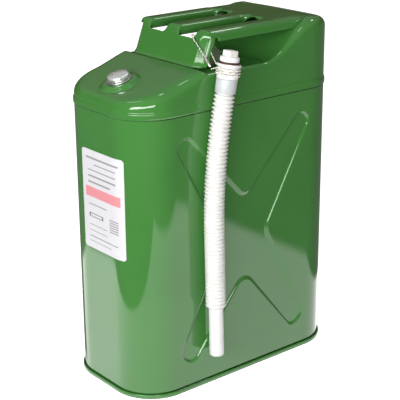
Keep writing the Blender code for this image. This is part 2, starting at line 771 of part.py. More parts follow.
def main():
    clear_scene()
    new_collection(PARTS_NAME)
    new_collection(CUTTERS_NAME, hidden=True)

    green = new_material("green_paint", (0.045, 0.180, 0.040), 0.25)
    chrome = new_material("chrome", (0.80, 0.80, 0.80), 0.12, 1.0)
    zinc = new_material("zinc_steel", (0.55, 0.55, 0.52), 0.35, 1.0)
    rubber = new_material("rubber", (0.050, 0.020, 0.018), 0.70)
    white = new_material("white_plastic", (0.80, 0.80, 0.76), 0.40)
    paper = new_material("label_white", (0.82, 0.82, 0.80), 0.45)
    nickel = new_material("nickel", (0.72, 0.70, 0.66), 0.25, 1.0)

    slope = (0.0, -math.sin(SLOPE_ANGLE), math.cos(SLOPE_ANGLE))
    foot = Vector((0.0, FILLER_Y, slope_height(FILLER_Y)))
    filler = axis_frame(foot + FILLER_RISE * Vector(slope), slope)
    head = axis_frame((NOZZLE_X, HOSE_TOP_Y, HOSE_TOP_Z), (0.0, HEAD_LEAN, 1.0))
    up_hose = (0.0, HOSE_MID_Y - SPOUT_END_Y, HOSE_MID_Z - SPOUT_END_Z)
    bend = axis_frame((NOZZLE_X, HOSE_MID_Y, HOSE_MID_Z), up_hose)

    body_shell(green)
    bottom_plate(green)
    top_shell(green, filler)
    handle_bridge(green)
    filler_neck(zinc, filler)
    breather_tube(zinc)
    front_label(paper)
    ball_chain(nickel)

    seat = [cap_gasket(rubber, filler), cap_liner(zinc, filler)]
    cap = filler_cap(chrome, filler)
    carry("cap_lift_axis", filler.translation, seat)
    carry("cap_turn_axis", filler.translation, [cap])

    coupler = chain_coupler(nickel)
    carry("nozzle_swing_axis", COUPLER_START, [coupler])
    fixed = [tether_loop(nickel, head), hose_connector(white, head)]
    fixed += [nozzle_washer(rubber, head), hose_upper(white)]
    carry("nozzle_lift_axis", COUPLER_END, fixed)
    carry("union_spin_axis", head.translation, [union_nut(white, head)])
    carry("plug_lift_axis", head.translation, [plug_gasket(rubber, head)])
    carry("plug_turn_axis", head.translation, [nozzle_plug(white, head)])
    carry("hose_bend_axis", bend.translation, [hose_lower(white, bend), spout_tube(white)])


main()
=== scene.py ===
"""The looks of the fuel can: pressed-steel skins, a corrugated nozzle, a bead chain and their materials.

Metres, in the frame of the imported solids: +Z up, the filler at -Y and the nozzle on the +X side.
"""

import json
import math

import bmesh
import bpy
import numpy as np
from mathutils import Matrix, Vector

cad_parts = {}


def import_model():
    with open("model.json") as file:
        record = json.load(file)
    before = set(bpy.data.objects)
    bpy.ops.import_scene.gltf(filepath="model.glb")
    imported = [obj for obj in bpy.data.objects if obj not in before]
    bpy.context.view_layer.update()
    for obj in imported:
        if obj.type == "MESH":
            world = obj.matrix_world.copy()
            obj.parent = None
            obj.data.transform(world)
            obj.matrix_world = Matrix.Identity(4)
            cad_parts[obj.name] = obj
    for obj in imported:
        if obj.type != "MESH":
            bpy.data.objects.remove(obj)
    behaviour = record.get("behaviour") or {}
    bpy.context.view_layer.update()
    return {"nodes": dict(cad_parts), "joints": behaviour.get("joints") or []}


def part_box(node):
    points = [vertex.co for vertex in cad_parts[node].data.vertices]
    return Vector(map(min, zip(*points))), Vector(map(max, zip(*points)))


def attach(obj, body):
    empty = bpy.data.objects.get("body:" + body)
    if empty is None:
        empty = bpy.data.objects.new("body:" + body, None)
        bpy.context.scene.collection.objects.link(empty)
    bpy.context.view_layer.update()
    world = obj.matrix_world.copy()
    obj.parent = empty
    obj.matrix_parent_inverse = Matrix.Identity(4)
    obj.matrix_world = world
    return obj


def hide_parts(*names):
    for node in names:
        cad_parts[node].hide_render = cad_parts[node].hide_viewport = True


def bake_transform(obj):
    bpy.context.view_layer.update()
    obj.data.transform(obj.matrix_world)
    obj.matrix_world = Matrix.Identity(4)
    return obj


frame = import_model()

# ---- the tank, read from the frame where a solid's box gives it
WALL_LOW, WALL_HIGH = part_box("body_shell")
COVER_LOW, COVER_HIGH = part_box("top_shell")
BRIDGE_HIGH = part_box("handle_bridge")[1]
LABEL_LOW, LABEL_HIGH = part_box("front_label")
HALF_X, HALF_Y = WALL_HIGH.x, WALL_HIGH.y
CORNER = 0.0565
SHEET = 0.001
SEAM = COVER_LOW.z
PLATEAU = COVER_HIGH.z
RIM_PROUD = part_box("bottom_plate")[1].x - HALF_X
RIM_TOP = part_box("bottom_plate")[1].z
SKIRT_PROUD = COVER_HIGH.x - HALF_X

# ---- the star pressed into each side: half of its outline as (place along the wall, height, radius)
STAR_HALF = (
    (0.000, 0.251, 0.012),
    (0.097, 0.354, 0.0125),
    (0.117, 0.340, 0.0125),
    (0.037, 0.197, 0.022),
    (0.113, 0.0515, 0.013),
    (0.089, 0.0345, 0.013),
    (0.000, 0.1430, 0.016),
)
STAR_DEPTH = 0.0026
STAR_OUT, STAR_IN = 0.0008, 0.0026  # the press radius, outside and inside the outline

# ---- the top cover
SLOPE_TOP_Y, SLOPE_TOP_Z, SLOPE = -0.069, 0.430, 0.295
SCOOP_FLOOR = 0.426
SCOOP_START, RISE_START, RISE_END = -0.060, 0.032, 0.130
REAR_FALL_START, REAR_FALL = 0.134, 0.20
REAR_FALL_EASE = 0.010  # over how far the fall begins
FRONT_FILLET, SLOPE_FILLET, FOOT_FILLET, SCOOP_FILLET, REAR_FILLET = 0.0138, 0.018, 0.012, 0.0055, 0.013
SKIRT_TOP = 0.3885

# ---- the filler, measured along its own axis from a point above the slope
FILLER_Y = -0.1344
FILLER_RISE = 0.003
BOSS_RADIUS, BOSS_TOP_RADIUS, BOSS_TOP = 0.0285, 0.0205, 0.0012
NECK_RADIUS = 0.0115

# ---- the nozzle
NOZZLE_X = 0.104
HOSE_TOP = (-0.0489, 0.403)
HOSE_MID = (-0.0672, 0.237)
HOSE_END_Z = 0.116
SPOUT_END = (-0.0633, 0.0485)
HOSE_CREST, HOSE_ROOT, HOSE_PITCH = 0.0135, 0.0102, 0.00505
HEAD_LEAN = 0.18


# ---- the studio: degrees from -Y towards +X, degrees up, metres and watts
CAMERA_TURN, CAMERA_RISE, CAMERA_ROLL = 50.849, 19.360, -0.428
CAMERA_AIM = Vector((0.0321, -0.0318, 0.2391))
CAMERA_FAR, CAMERA_LENS = 1.5570, 104.40
SHEET_FRONT, SHEET_BACK = -0.44, 0.36  # where the bright sheet ends, seen in the gloss
SHEET_LEFT, SHEET_RIGHT = -0.47, 0.70
FLOOR_DULL, FLOOR_BRIGHT = 0.22, 2.45  # how bright the gloss sees the floor, off the sheet and on it
FLOOR_LIFT, FLOOR_BOUNCE = 0.93, 0.5
ROOM_LOW, ROOM_HIGH = 0.10, 0.40  # how bright the room is near the horizon and overhead
ROOM_WARM = (1.0, 0.80, 0.58, 1.0)
KEY_TURN, KEY_RISE, KEY_FAR, KEY_POWER = 38, 12, 1.7, 36
KEY_SIZE = (1.9, 0.4)
EDGE_PLACE, EDGE_AIM = (0.56, -1.43, 0.85), (0.06, -0.055, 0.455)
EDGE_SIZE, EDGE_POWER = (0.60, 0.30), 6.5
OVERHEAD = (  # each lamp: its place and its size
    ((-0.35, -0.80, 1.9), (1.0, 0.07)),
    ((0.17, 1.08, 1.9), (0.40, 0.30)),
    ((0.12, 0.05, 1.9), (0.15, 0.15)),
)
OVERHEAD_GLOW = 9.0


# ======================================================================== materials


class Nodes:
    """A short way to write the nodes of a material or of the world."""

    def __init__(self, holder):
        holder.use_nodes = True
        self.holder = holder
        self.tree = holder.node_tree

    def add(self, kind, **inputs):
        node = self.tree.nodes.new(kind)
        for key, value in inputs.items():
            self.put(node, key.replace("_", " "), value)
        return node

    def put(self, node, key, value):
        socket = node.inputs[int(key[1:])] if key[0] == "i" and key[1:].isdigit() else node.inputs[key]
        if isinstance(value, bpy.types.NodeSocket):
            self.tree.links.new(value, socket)
        else:
            socket.default_value = value

    def finish(self, **inputs):
        shader = self.tree.nodes["Principled BSDF"]
        for key, value in inputs.items():
            self.put(shader, key.replace("_", " "), value)
        return self.holder

    def axes(self, kind="Object"):
        """The X, Y and Z of the place in metres, or of the direction looked in."""
        place = self.tree.nodes.new("ShaderNodeTexCoord").outputs[kind]
        return self.add("ShaderNodeSeparateXYZ", Vector=place).outputs

    def where(self, scale):
        """The place in metres, stretched by a scale."""
        place = self.tree.nodes.new("ShaderNodeTexCoord").outputs["Object"]
        mapping = self.add("ShaderNodeMapping", Vector=place)
        mapping.inputs["Scale"].default_value = scale
        return mapping.outputs["Vector"]

    def noise(self, scale, detail=3.0, roughness=0.5, stretch=(1.0, 1.0, 1.0)):
        node = self.add(
            "ShaderNodeTexNoise", Vector=self.where(stretch), Scale=scale, Detail=detail, Roughness=roughness
        )
        return node.outputs["Fac"]

    def ramp(self, value, low, high, out_low=0.0, out_high=1.0, kind="SMOOTHSTEP"):
        node = self.tree.nodes.new("ShaderNodeMapRange")
        node.interpolation_type = kind
        for key, given in enumerate((value, low, high, out_low, out_high)):
            self.put(node, f"i{key}", given)
        return node.outputs[0]

    def window(self, across, down, left, right, middle, half):
        """1 inside a rectangle of the label and 0 outside it."""
        soft = 0.004
        return self.product(
            self.ramp(across, left - soft, left + soft),
            self.ramp(across, right + soft, right - soft),
            self.ramp(down, middle - half - soft, middle - half + soft),
            self.ramp(down, middle + half + soft, middle + half - soft),
        )

    def mix(self, share, one, two):
        node = self.tree.nodes.new("ShaderNodeMix")
        node.data_type = "RGBA"
        self.put(node, "i0", share)
        self.put(node, "i6", one)
        self.put(node, "i7", two)
        return node.outputs[2]

    def maths(self, operation, one, two=0.0):
        node = self.tree.nodes.new("ShaderNodeMath")
        node.operation = operation
        self.put(node, "i0", one)
        self.put(node, "i1", two)
        return node.outputs[0]

    def product(self, first, *others):
        for other in others:
            first = self.maths("MULTIPLY", first, other)
        return first

    def bump(self, height, distance, strength=1.0, normal=None):
        node = self.add("ShaderNodeBump", Height=height, Distance=distance, Strength=strength)
        if normal is not None:
            self.put(node, "Normal", normal)
        return node.outputs["Normal"]


def surface(name):
    return Nodes(bpy.data.materials.new(name))


def grey(value):
    return (value, value, value, 1.0)


def seam_shadow_lines(n, colour):
    """Painted shadow lines at the joints, fainter in front: dark bands painted under the cover's skirt and
    over the rim of the base, where their edges cast shade.
    """
    place = n.axes()
    # how dark the painted shadow is: fainter at the front
    depth = n.ramp(place["Y"], -0.150, -0.125, 0.40, 0.92)
    soft = 0.0004
    for low, high in ((SEAM - 0.0013, SEAM + 0.0001), (RIM_TOP - 0.0002, RIM_TOP + 0.0009)):
        above, below = n.ramp(place["Z"], low - soft, low), n.ramp(place["Z"], high + soft, high)
        colour = n.mix(n.product(above, below, depth), colour, (0.004, 0.010, 0.004, 1.0))
    return colour


def green_paint(name="green_enamel", seam_shadowed=False):
    """Stoved enamel on pressed steel: deep gloss, a faint orange peel and slow unevenness of the sheet."""
    n = surface(name)
    tone = n.ramp(n.noise(9.0, 2.0), 0.3, 0.7)
    colour = n.mix(tone, (0.037, 0.158, 0.028, 1.0), (0.044, 0.172, 0.033, 1.0))
    # painted shadow: dark lines under the skirt and over the base rim
    if seam_shadowed:
        colour = seam_shadow_lines(n, colour)
    peel = n.bump(n.noise(420.0, 2.0), 0.00002, 0.5)
    sheet = n.bump(n.noise(26.0, 1.0), 0.0006, 0.12, peel)
    dulled = n.ramp(n.noise(55.0, 4.0), 0.35, 0.75, 0.05, 0.10)
    return n.finish(
        Base_Color=colour, Roughness=dulled, Normal=sheet, IOR=1.5, Coat_Weight=0.12, Coat_Roughness=0.04
    )


def chrome():
    """Bright plating, with a mottled top where the pressing shows through."""
    n = surface("bright_plating")
    mottle = n.noise(260.0, 4.0)
    colour = n.mix(n.ramp(mottle, 0.35, 0.65), grey(0.80), (0.91, 0.94, 0.96, 1.0))
    return n.finish(
        Base_Color=colour,
        Metallic=0.85,
        Roughness=n.ramp(mottle, 0.3, 0.7, 0.22, 0.42),
        Normal=n.bump(mottle, 0.00025, 0.35),
    )


def zinc():
    n = surface("zinc_plating")
    spangle = n.noise(180.0, 5.0, 0.6)
    colour = n.mix(spangle, (0.42, 0.43, 0.42, 1.0), (0.64, 0.64, 0.62, 1.0))
    return n.finish(
        Base_Color=colour,
        Metallic=1.0,
        Roughness=n.ramp(spangle, 0.3, 0.7, 0.28, 0.45),
        Normal=n.bump(spangle, 0.00006, 0.4),
    )


def nickel():
    n = surface("nickel_plating")
    tarnish = n.noise(300.0, 4.0)
    colour = n.mix(tarnish, (0.60, 0.57, 0.50, 1.0), (0.90, 0.88, 0.84, 1.0))
    return n.finish(Base_Color=colour, Metallic=1.0, Roughness=n.ramp(tarnish, 0.3, 0.7, 0.16, 0.32))


def white_plastic(name, warm, light):
    """Blown polyethylene: milky, with light passing a little way in and a fine moulding grain."""
    n = surface(name)
    cloud = n.noise(60.0, 3.0)
    grain = n.bump(n.noise(900.0, 2.0), 0.00003, 0.5)
    return n.finish(
        Base_Color=n.mix(cloud, warm, light),
        Roughness=n.ramp(n.noise(90.0, 3.0), 0.3, 0.7, 0.30, 0.42),
        Normal=grain,
        Subsurface_Weight=0.25,
        Subsurface_Radius=(1.0, 0.8, 0.6),
        Subsurface_Scale=0.003,
    )


def rubber():
    n = surface("seal_rubber")
    dust = n.noise(500.0, 3.0)
    colour = n.mix(n.ramp(dust, 0.45, 0.75), (0.050, 0.012, 0.011, 1.0), (0.085, 0.028, 0.025, 1.0))
    return n.finish(Base_Color=colour, Roughness=0.62, Normal=n.bump(dust, 0.0001, 0.5))


def label_paper():
    """A white sticker. Its print is generic: plain grey rules, a plain red band, a box and stripes."""
    n = surface("label_print")
    place = n.axes()
    across = n.ramp(place["X"], LABEL_LOW.x, LABEL_HIGH.x, kind="LINEAR")
    down = n.ramp(place["Z"], LABEL_HIGH.z, LABEL_LOW.z, kind="LINEAR")
    white = n.mix(n.noise(40.0, 2.0), (0.58, 0.57, 0.61, 1.0), (0.64, 0.64, 0.66, 1.0))
    colour = white
    # each rule: its centre down the label, its half height, and its left and right ends
    rules = (
        (0.080, 0.009, 0.10, 0.90),
        (0.140, 0.006, 0.30, 0.84),
        (0.200, 0.006, 0.14, 0.84),
        (0.260, 0.009, 0.14, 0.84),
        (0.320, 0.009, 0.14, 0.70),
        (0.545, 0.006, 0.14, 0.60),
        (0.755, 0.004, 0.14, 0.60),
        (0.815, 0.004, 0.14, 0.60),
        (0.875, 0.006, 0.14, 0.86),
        (0.925, 0.004, 0.14, 0.70),
    )
    for middle, half, left, right in rules:
        colour = n.mix(n.window(across, down, left, right, middle, half), colour, grey(0.26))
    colour = n.mix(n.window(across, down, 0.07, 0.93, 0.420, 0.050), colour, (0.66, 0.24, 0.27, 1.0))
    colour = n.mix(n.window(across, down, 0.14, 0.50, 0.655, 0.020), colour, grey(0.10))
    colour = n.mix(n.window(across, down, 0.17, 0.47, 0.655, 0.012), colour, white)
    stripes = n.maths("PINGPONG", n.maths("MULTIPLY", down, 42.0), 0.5)
    striped = n.product(n.window(across, down, 0.66, 0.88, 0.690, 0.070), n.ramp(stripes, 0.20, 0.26))
    colour = n.mix(striped, colour, grey(0.28))
    fibre = n.bump(n.noise(300.0), 0.00003, 0.3)
    return n.finish(Base_Color=colour, Roughness=0.38, Coat_Weight=0.15, Normal=fibre)


# ======================================================================== mesh helpers


def make_piece(name, bm, material, body, replaced=(), smooth_below=35.0):
    """A piece from a bmesh: shaded smooth, riding on its body and standing for its CAD nodes."""
    bmesh.ops.remove_doubles(bm, verts=bm.verts, dist=1e-7)
    bmesh.ops.recalc_face_normals(bm, faces=bm.faces)
    mesh = bpy.data.meshes.new(name)
    bm.to_mesh(mesh)
    bm.free()
    mesh.shade_smooth()
    mesh.set_sharp_from_angle(angle=math.radians(smooth_below))
    mesh.materials.append(material)
    obj = bpy.data.objects.new(name, mesh)
    bpy.context.scene.collection.objects.link(obj)
    if body:
        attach(obj, body)
    if replaced:
        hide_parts(*replaced)
    return obj


def ring(bm, points):
    return [bm.verts.new(p) for p in points]


def circle(radius, height, count, matrix):
    """Points on a circle round a matrix's Z."""
    made = []
    for i in range(count):
        angle = 2 * math.pi * i / count
        made.append(matrix @ Vector((radius * math.cos(angle), radius * math.sin(angle), height)))
    return made


def bridge_rings(bm, first, second, closed=True):
    count = len(first)
    for i in range(count if closed else count - 1):
        j = (i + 1) % count
        bm.faces.new((first[i], first[j], second[j], second[i]))


def skin(bm, rings, closed=True):
    for first, second in zip(rings, rings[1:]):
        bridge_rings(bm, first, second, closed)


def steps(low, high, count):
    return [low + (high - low) * i / count for i in range(count + 1)]


def smoothstep(value, low, high):
    share = min(max((value - low) / (high - low), 0.0), 1.0)
    return share * share * (3 - 2 * share)


def modifier(obj, kind, **values):
    made = obj.modifiers.new(kind.lower(), kind)
    for key, value in values.items():
        setattr(made, key, value)
    return made


def plan(front, side, corner):
    """Walks once round the tank's plan from the front left, as (place, outward normal, wall) triples.
    The wall is a side's (+1 or -1, place along it) or None, and it goes on round the corners."""
    a, b = HALF_X - CORNER, HALF_Y - CORNER
    made = []
    for i in range(front):
        made.append((Vector((-a + 2 * a * i / front, -HALF_Y)), Vector((0, -1)), None))
    made += arc_of_plan(a, -b, -90, corner)
    for i in range(side):
        y = -b + 2 * b * i / side
        made.append((Vector((HALF_X, y)), Vector((1, 0)), (1, y)))
    made += arc_of_plan(a, b, 0, corner)
    for i in range(front):
        made.append((Vector((a - 2 * a * i / front, HALF_Y)), Vector((0, 1)), None))
    made += arc_of_plan(-a, b, 90, corner)
    for i in range(side):
        y = b - 2 * b * i / side
        made.append((Vector((-HALF_X, y)), Vector((-1, 0)), (-1, y)))
    made += arc_of_plan(-a, -b, 180, corner)
    return made


def arc_of_plan(x, y, start, count):
    made = []
    for i in range(count):
        angle = math.radians(start + 90 * i / count)
        normal = Vector((math.cos(angle), math.sin(angle)))
        side = 1 if x > 0 else -1
        turn = abs(math.atan2(normal.y, side * normal.x))
        along = math.copysign(HALF_Y - CORNER + CORNER * turn, y)
        made.append((Vector((x, y)) + normal * CORNER, normal, (side, along)))
    return made


# ======================================================================== the wall with its stars


def rounded_outline(points, count=8):
    """The outline of (a, b, radius) corners with an arc at each."""
    made = []
    for i, (a, b, radius) in enumerate(points):
        here = Vector((a, b))
        before = (Vector(points[i - 1][:2]) - here).normalized()
        after = (Vector(points[(i + 1) % len(points)][:2]) - here).normalized()
        half = before.angle(after) / 2
        centre = here + (before + after).normalized() * radius / math.sin(half)
        start = here + before * radius / math.tan(half) - centre
        end = here + after * radius / math.tan(half) - centre
        sweep = start.angle_signed(end)
        for step in range(count + 1):
            arm = start.copy()
            arm.rotate(Matrix.Rotation(-sweep * step / count, 2))
            made.append((centre.x + arm.x, centre.y + arm.y))
    return np.array(made)


def star_distance(points):
    """How far each (along, height) point is outside the star's outline, and below zero inside it."""
    half = list(STAR_HALF)
    outline = rounded_outline(half + [(-y, z, r) for y, z, r in reversed(half[1:-1])])
    ends = np.roll(outline, -1, axis=0)
    best = np.full(len(points), 1e9)
    inside = np.zeros(len(points), bool)
    for a, b in zip(outline, ends):
        edge = b - a
        length = float(edge @ edge)
        if length < 1e-12:
            continue
        share = np.clip((points - a) @ edge / length, 0, 1)
        best = np.minimum(best, np.linalg.norm(points - a - share[:, None] * edge, axis=1))
        crosses = (a[1] > points[:, 1]) != (b[1] > points[:, 1])
        if crosses.any():
            at = (b[0] - a[0]) * (points[:, 1] - a[1]) / (b[1] - a[1] + 1e-15) + a[0]
            inside ^= crosses & (points[:, 0] < at)
    return np.where(inside, -best, best)


def press_depths(columns, heights):
    """How far the wall is pressed in at each height and column."""
    walls = [i for i, (_, _, wall) in enumerate(columns) if wall]
    grid = np.array([(columns[i][2][1], z) for z in heights for i in walls])
    distance = star_distance(grid)
    share = np.clip((STAR_OUT - distance) / (STAR_OUT + STAR_IN), 0, 1)
    depth = STAR_DEPTH * share * share * (3 - 2 * share)
    found = np.zeros((len(heights), len(columns)))
    found[:, walls] = depth.reshape(len(heights), len(walls))
    return found


def wall_heights():
    low, high = WALL_LOW.z, WALL_HIGH.z
    star_low, star_high = 0.030, 0.362
    cell = 0.0014
    heights = steps(low, star_low, 5)[:-1]
    heights += steps(star_low, star_high, round((star_high - star_low) / cell))
    return heights + steps(star_high, high, 5)[1:]


def build_wall(material):
    columns = plan(10, 166, 36)
    heights = wall_heights()
    depths = press_depths(columns, heights)
    bm = bmesh.new()
    rings = []
    for row, z in enumerate(heights):
        points = []
        for i, (place, normal, _) in enumerate(columns):
            at = place - normal * float(depths[row, i])
            points.append((at.x, at.y, z))
        rings.append(ring(bm, points))
    skin(bm, rings)
    wall = make_piece("tank_wall", bm, material, "can", ["body_shell"], 60)
    modifier(wall, "SOLIDIFY", thickness=SHEET, offset=-1.0)
    return wall


# ======================================================================== the base


def build_base(material):
    """The folded seam round the foot, and the floor inside it, pressed down to the ground in the middle."""
    outer, top = RIM_PROUD, RIM_TOP
    profile = [(-0.0190, 0.0), (-0.0168, 0.0), (-0.0158, 0.0004), (-0.0152, 0.0020), (-0.0146, 0.0036)]
    profile += [(-0.0136, 0.0040), (-0.0034, 0.0040), (-0.0024, 0.0037), (-0.0020, 0.0028), (-0.0018, 0.0010)]
    profile += [(-0.0012, 0.0003), (-0.0004, 0.0), (outer - 0.0012, 0.0), (outer - 0.0004, 0.0003)]
    profile += [(outer - 0.0001, 0.0010), (outer, 0.0020), (outer, top - 0.0020)]
    profile += [(outer - 0.0002, top - 0.0010), (outer - 0.0008, top - 0.0003), (outer - 0.0015, top)]
    profile += [(0.0010, top - 0.0002)]
    profile += [(0.0005, top - 0.0006), (0.0003, top - 0.0014), (0.0003, 0.0034), (-0.0013, 0.0034)]
    profile += [(-0.0013, 0.0056), (-0.0016, 0.0062), (-0.0020, 0.0062), (-0.0023, 0.0058), (-0.0024, 0.0052)]
    profile += [(-0.0032, 0.0050), (-0.0130, 0.0050), (-0.0146, 0.0046), (-0.0156, 0.0036), (-0.0162, 0.0018)]
    profile += [(-0.0172, 0.0010), (-0.0190, 0.0010)]
    columns = plan(8, 16, 24)
    bm = bmesh.new()
    rings = [
        ring(bm, [(*(place + normal * grow), z) for place, normal, _ in columns]) for grow, z in profile
    ]
    skin(bm, rings)
    bm.faces.new(rings[0])
    bm.faces.new(rings[-1])
    return make_piece("base_seam", bm, material, "can", ["bottom_plate"], 50)


# ======================================================================== the top cover


def slope_height(y):
    return SLOPE_TOP_Z + SLOPE * (y - SLOPE_TOP_Y)


def cover_height(y):
    """The height of the cover's surface along its middle, before its edges roll down."""
    if y <= SLOPE_TOP_Y:
        return slope_height(y)
    if y <= SCOOP_START:
        return SLOPE_TOP_Z + (SCOOP_FLOOR - SLOPE_TOP_Z) * smoothstep(y, SLOPE_TOP_Y, SCOOP_START)
    share = min(max((y - RISE_START) / (RISE_END - RISE_START), 0.0), 1.0)
    rise = (PLATEAU - SCOOP_FLOOR) * (1 - math.cos(math.pi * share)) / 2
    ease = smoothstep(y, REAR_FALL_START, REAR_FALL_START + REAR_FALL_EASE)
    return SCOOP_FLOOR + rise - REAR_FALL * max(y - REAR_FALL_START, 0.0) * ease


def edge_fillet(y):
    """The radius of the roll along the cover's edge, by the place of the edge."""
    if y < -HALF_Y + CORNER:
        return FRONT_FILLET + (SLOPE_FILLET - FRONT_FILLET) * smoothstep(y, -HALF_Y, -HALF_Y + CORNER)
    if y < RISE_START:
        upper = SLOPE_FILLET + (FOOT_FILLET - SLOPE_FILLET) * smoothstep(y, -HALF_Y + CORNER, SLOPE_TOP_Y)
        return upper + (SCOOP_FILLET - FOOT_FILLET) * smoothstep(y, SLOPE_TOP_Y, SCOOP_START)
    return SCOOP_FILLET + (REAR_FILLET - SCOOP_FILLET) * smoothstep(y, RISE_START, RISE_END)


def edge_rise(y, normal):
    """How steeply the cover's surface rises inwards from its edge."""
    step = 0.0005
    along = (cover_height(y + step) - cover_height(y - step)) / (2 * step)
    return -normal.y * along


def boss_lift(x, y):
    """How far the boss round the neck lifts the slope, along the slope's normal."""
    stretch = math.sqrt(1 + SLOPE**2)
    radius = math.hypot(x, (y - FILLER_Y) * stretch)
    height = FILLER_RISE + BOSS_TOP
    inner = smoothstep(radius, 0.0196, 0.0188)
    outer = smoothstep(radius, BOSS_RADIUS + 0.003, BOSS_RADIUS)
    step = 0.0006 * (inner - outer)
    return height * (1 - smoothstep(radius, BOSS_TOP_RADIUS, BOSS_RADIUS)) + step * 0.5


def on_cover(x, y):
    z = cover_height(y)
    lift = boss_lift(x, y) if y < SLOPE_TOP_Y else 0.0
    lean = math.sqrt(1 + SLOPE**2)
    return (x, y - lift * SLOPE / lean, z + lift / lean)


def cover_ring(columns, share):
    """One ring of the rolled edge: share 0 is at the wall and 1 is where the roll meets the surface."""
    points = []
    for place, normal, _ in columns:
        radius = edge_fillet(place.y)
        rise = edge_rise(place.y, normal)
        lean = math.atan(rise)
        angle = (math.pi / 2 - lean) * share
        inset = radius * (1 - math.cos(angle))
        at = place - normal * inset
        drop = rise * (inset - radius) + radius * math.hypot(1, rise) - radius * math.sin(angle)
        points.append((at.x, at.y, cover_height(at.y) - drop))
    return points


def fill_inside(bm, edge, front, lift):
    """Joins the left and right halves of the innermost ring with straight rows."""
    total = len(edge)
    reach = (total - 2 * front) // 2
    rows = [edge[: front + 1]]
    for j in range(1, reach):
        right, left = edge[front + j], edge[total - j]
        row = [left]
        for i in range(1, front):
            x = left.co.x + (right.co.x - left.co.x) * i / front
            row.append(bm.verts.new(lift(x, (left.co.y + right.co.y) / 2)))
        rows.append(row + [right])
    rows.append([edge[(total - reach - i) % total] for i in range(front + 1)])
    skin(bm, rows, closed=False)


def refine_boss(bm):
    """Divides the faces round the filler and lays the new points on the surface."""
    near = []
    for face in bm.faces:
        middle = face.calc_center_median()
        if math.hypot(middle.x, middle.y - FILLER_Y) < BOSS_RADIUS + 0.003:
            near.append(face)
    edges = list({edge for face in near for edge in face.edges})
    made = bmesh.ops.subdivide_edges(bm, edges=edges, cuts=3, use_grid_fill=True)
    fresh = {v for v in made["geom_inner"] if isinstance(v, bmesh.types.BMVert)}
    for vert in fresh:
        vert.co = on_cover(vert.co.x, flat_place(vert.co))


def flat_place(co):
    """The place along Y of a point before the boss lifted it."""
    y = co.y
    for _ in range(4):
        y = co.y + boss_lift(co.x, y) * SLOPE / math.sqrt(1 + SLOPE**2)
    return y


def open_neck(bm):
    """Cuts the hole for the filler's neck and rounds its edge."""
    hole = NECK_RADIUS + 0.0004
    origin, axis = filler_frame()
    gone = []
    for face in bm.faces:
        away = face.calc_center_median() - origin
        if away.length < 0.03 and (away - axis * away.dot(axis)).length < hole:
            gone.append(face)
    bmesh.ops.delete(bm, geom=gone, context="FACES")
    for vert in bm.verts:
        away = vert.co - origin
        if away.length > 0.03 or not vert.is_boundary:
            continue
        flat = away - axis * away.dot(axis)
        if flat.length < hole * 1.4:
            vert.co = origin + axis * away.dot(axis) + flat.normalized() * hole


def filler_frame():
    lean = math.sqrt(1 + SLOPE**2)
    axis = Vector((0.0, -SLOPE / lean, 1 / lean))
    return Vector((0.0, FILLER_Y, slope_height(FILLER_Y))) + axis * FILLER_RISE, axis


def build_cover(material):
    front = 56
    columns = plan(front, 120, 30)
    bm = bmesh.new()
    rings = []
    skirt = [
        (SKIRT_PROUD - 0.0002, SEAM), (SKIRT_PROUD, SEAM + 0.0004), (SKIRT_PROUD, SKIRT_TOP - 0.0024),
        (SKIRT_PROUD - 0.0002, SKIRT_TOP - 0.0015), (SKIRT_PROUD - 0.0007, SKIRT_TOP - 0.0008),
        (0.0003, SKIRT_TOP - 0.0003), (0.0, SKIRT_TOP + 0.0003),
    ]
    for grow, z in skirt:
        rings.append(ring(bm, [(*(place + normal * grow), z) for place, normal, _ in columns]))
    roll = cover_ring(columns, 0.0)
    for share in (0.15, 0.45, 0.75):
        points = []
        for (place, _, _), top in zip(columns, roll):
            base = SKIRT_TOP + 0.0003
            points.append((place.x, place.y, base + (top[2] - base) * share))
        rings.append(ring(bm, points))
    for share in steps(0.0, 1.0, 10):
        rings.append(ring(bm, cover_ring(columns, share)))
    skin(bm, rings)
    fill_inside(bm, rings[-1], front, on_cover)
    refine_boss(bm)
    open_neck(bm)
    cover = make_piece("top_cover", bm, material, "can", ["top_shell"], 60)
    modifier(cover, "SOLIDIFY", thickness=SHEET, offset=-1.0)
    return cover


# ======================================================================== the handle bridge

BRIDGE_HALF = BRIDGE_HIGH.x
BRIDGE_TOP = BRIDGE_HIGH.z
BRIDGE_REAR = BRIDGE_HIGH.y
BRIDGE_SHEET = 0.0012
WALL_FOOT = (-0.0645, 0.4312)
WALL_HEAD_Y = -0.0480
BAR_PITCH = 0.0605
BAR_HALF = 0.013
BAR_DROP = 0.014
FLANGE = 0.013
SLOT_END = 0.064
VALLEY = 0.4635
REAR_CORNER = 0.026
FLARE = 0.007  # how far the foot of each bar spreads at a slot's ends


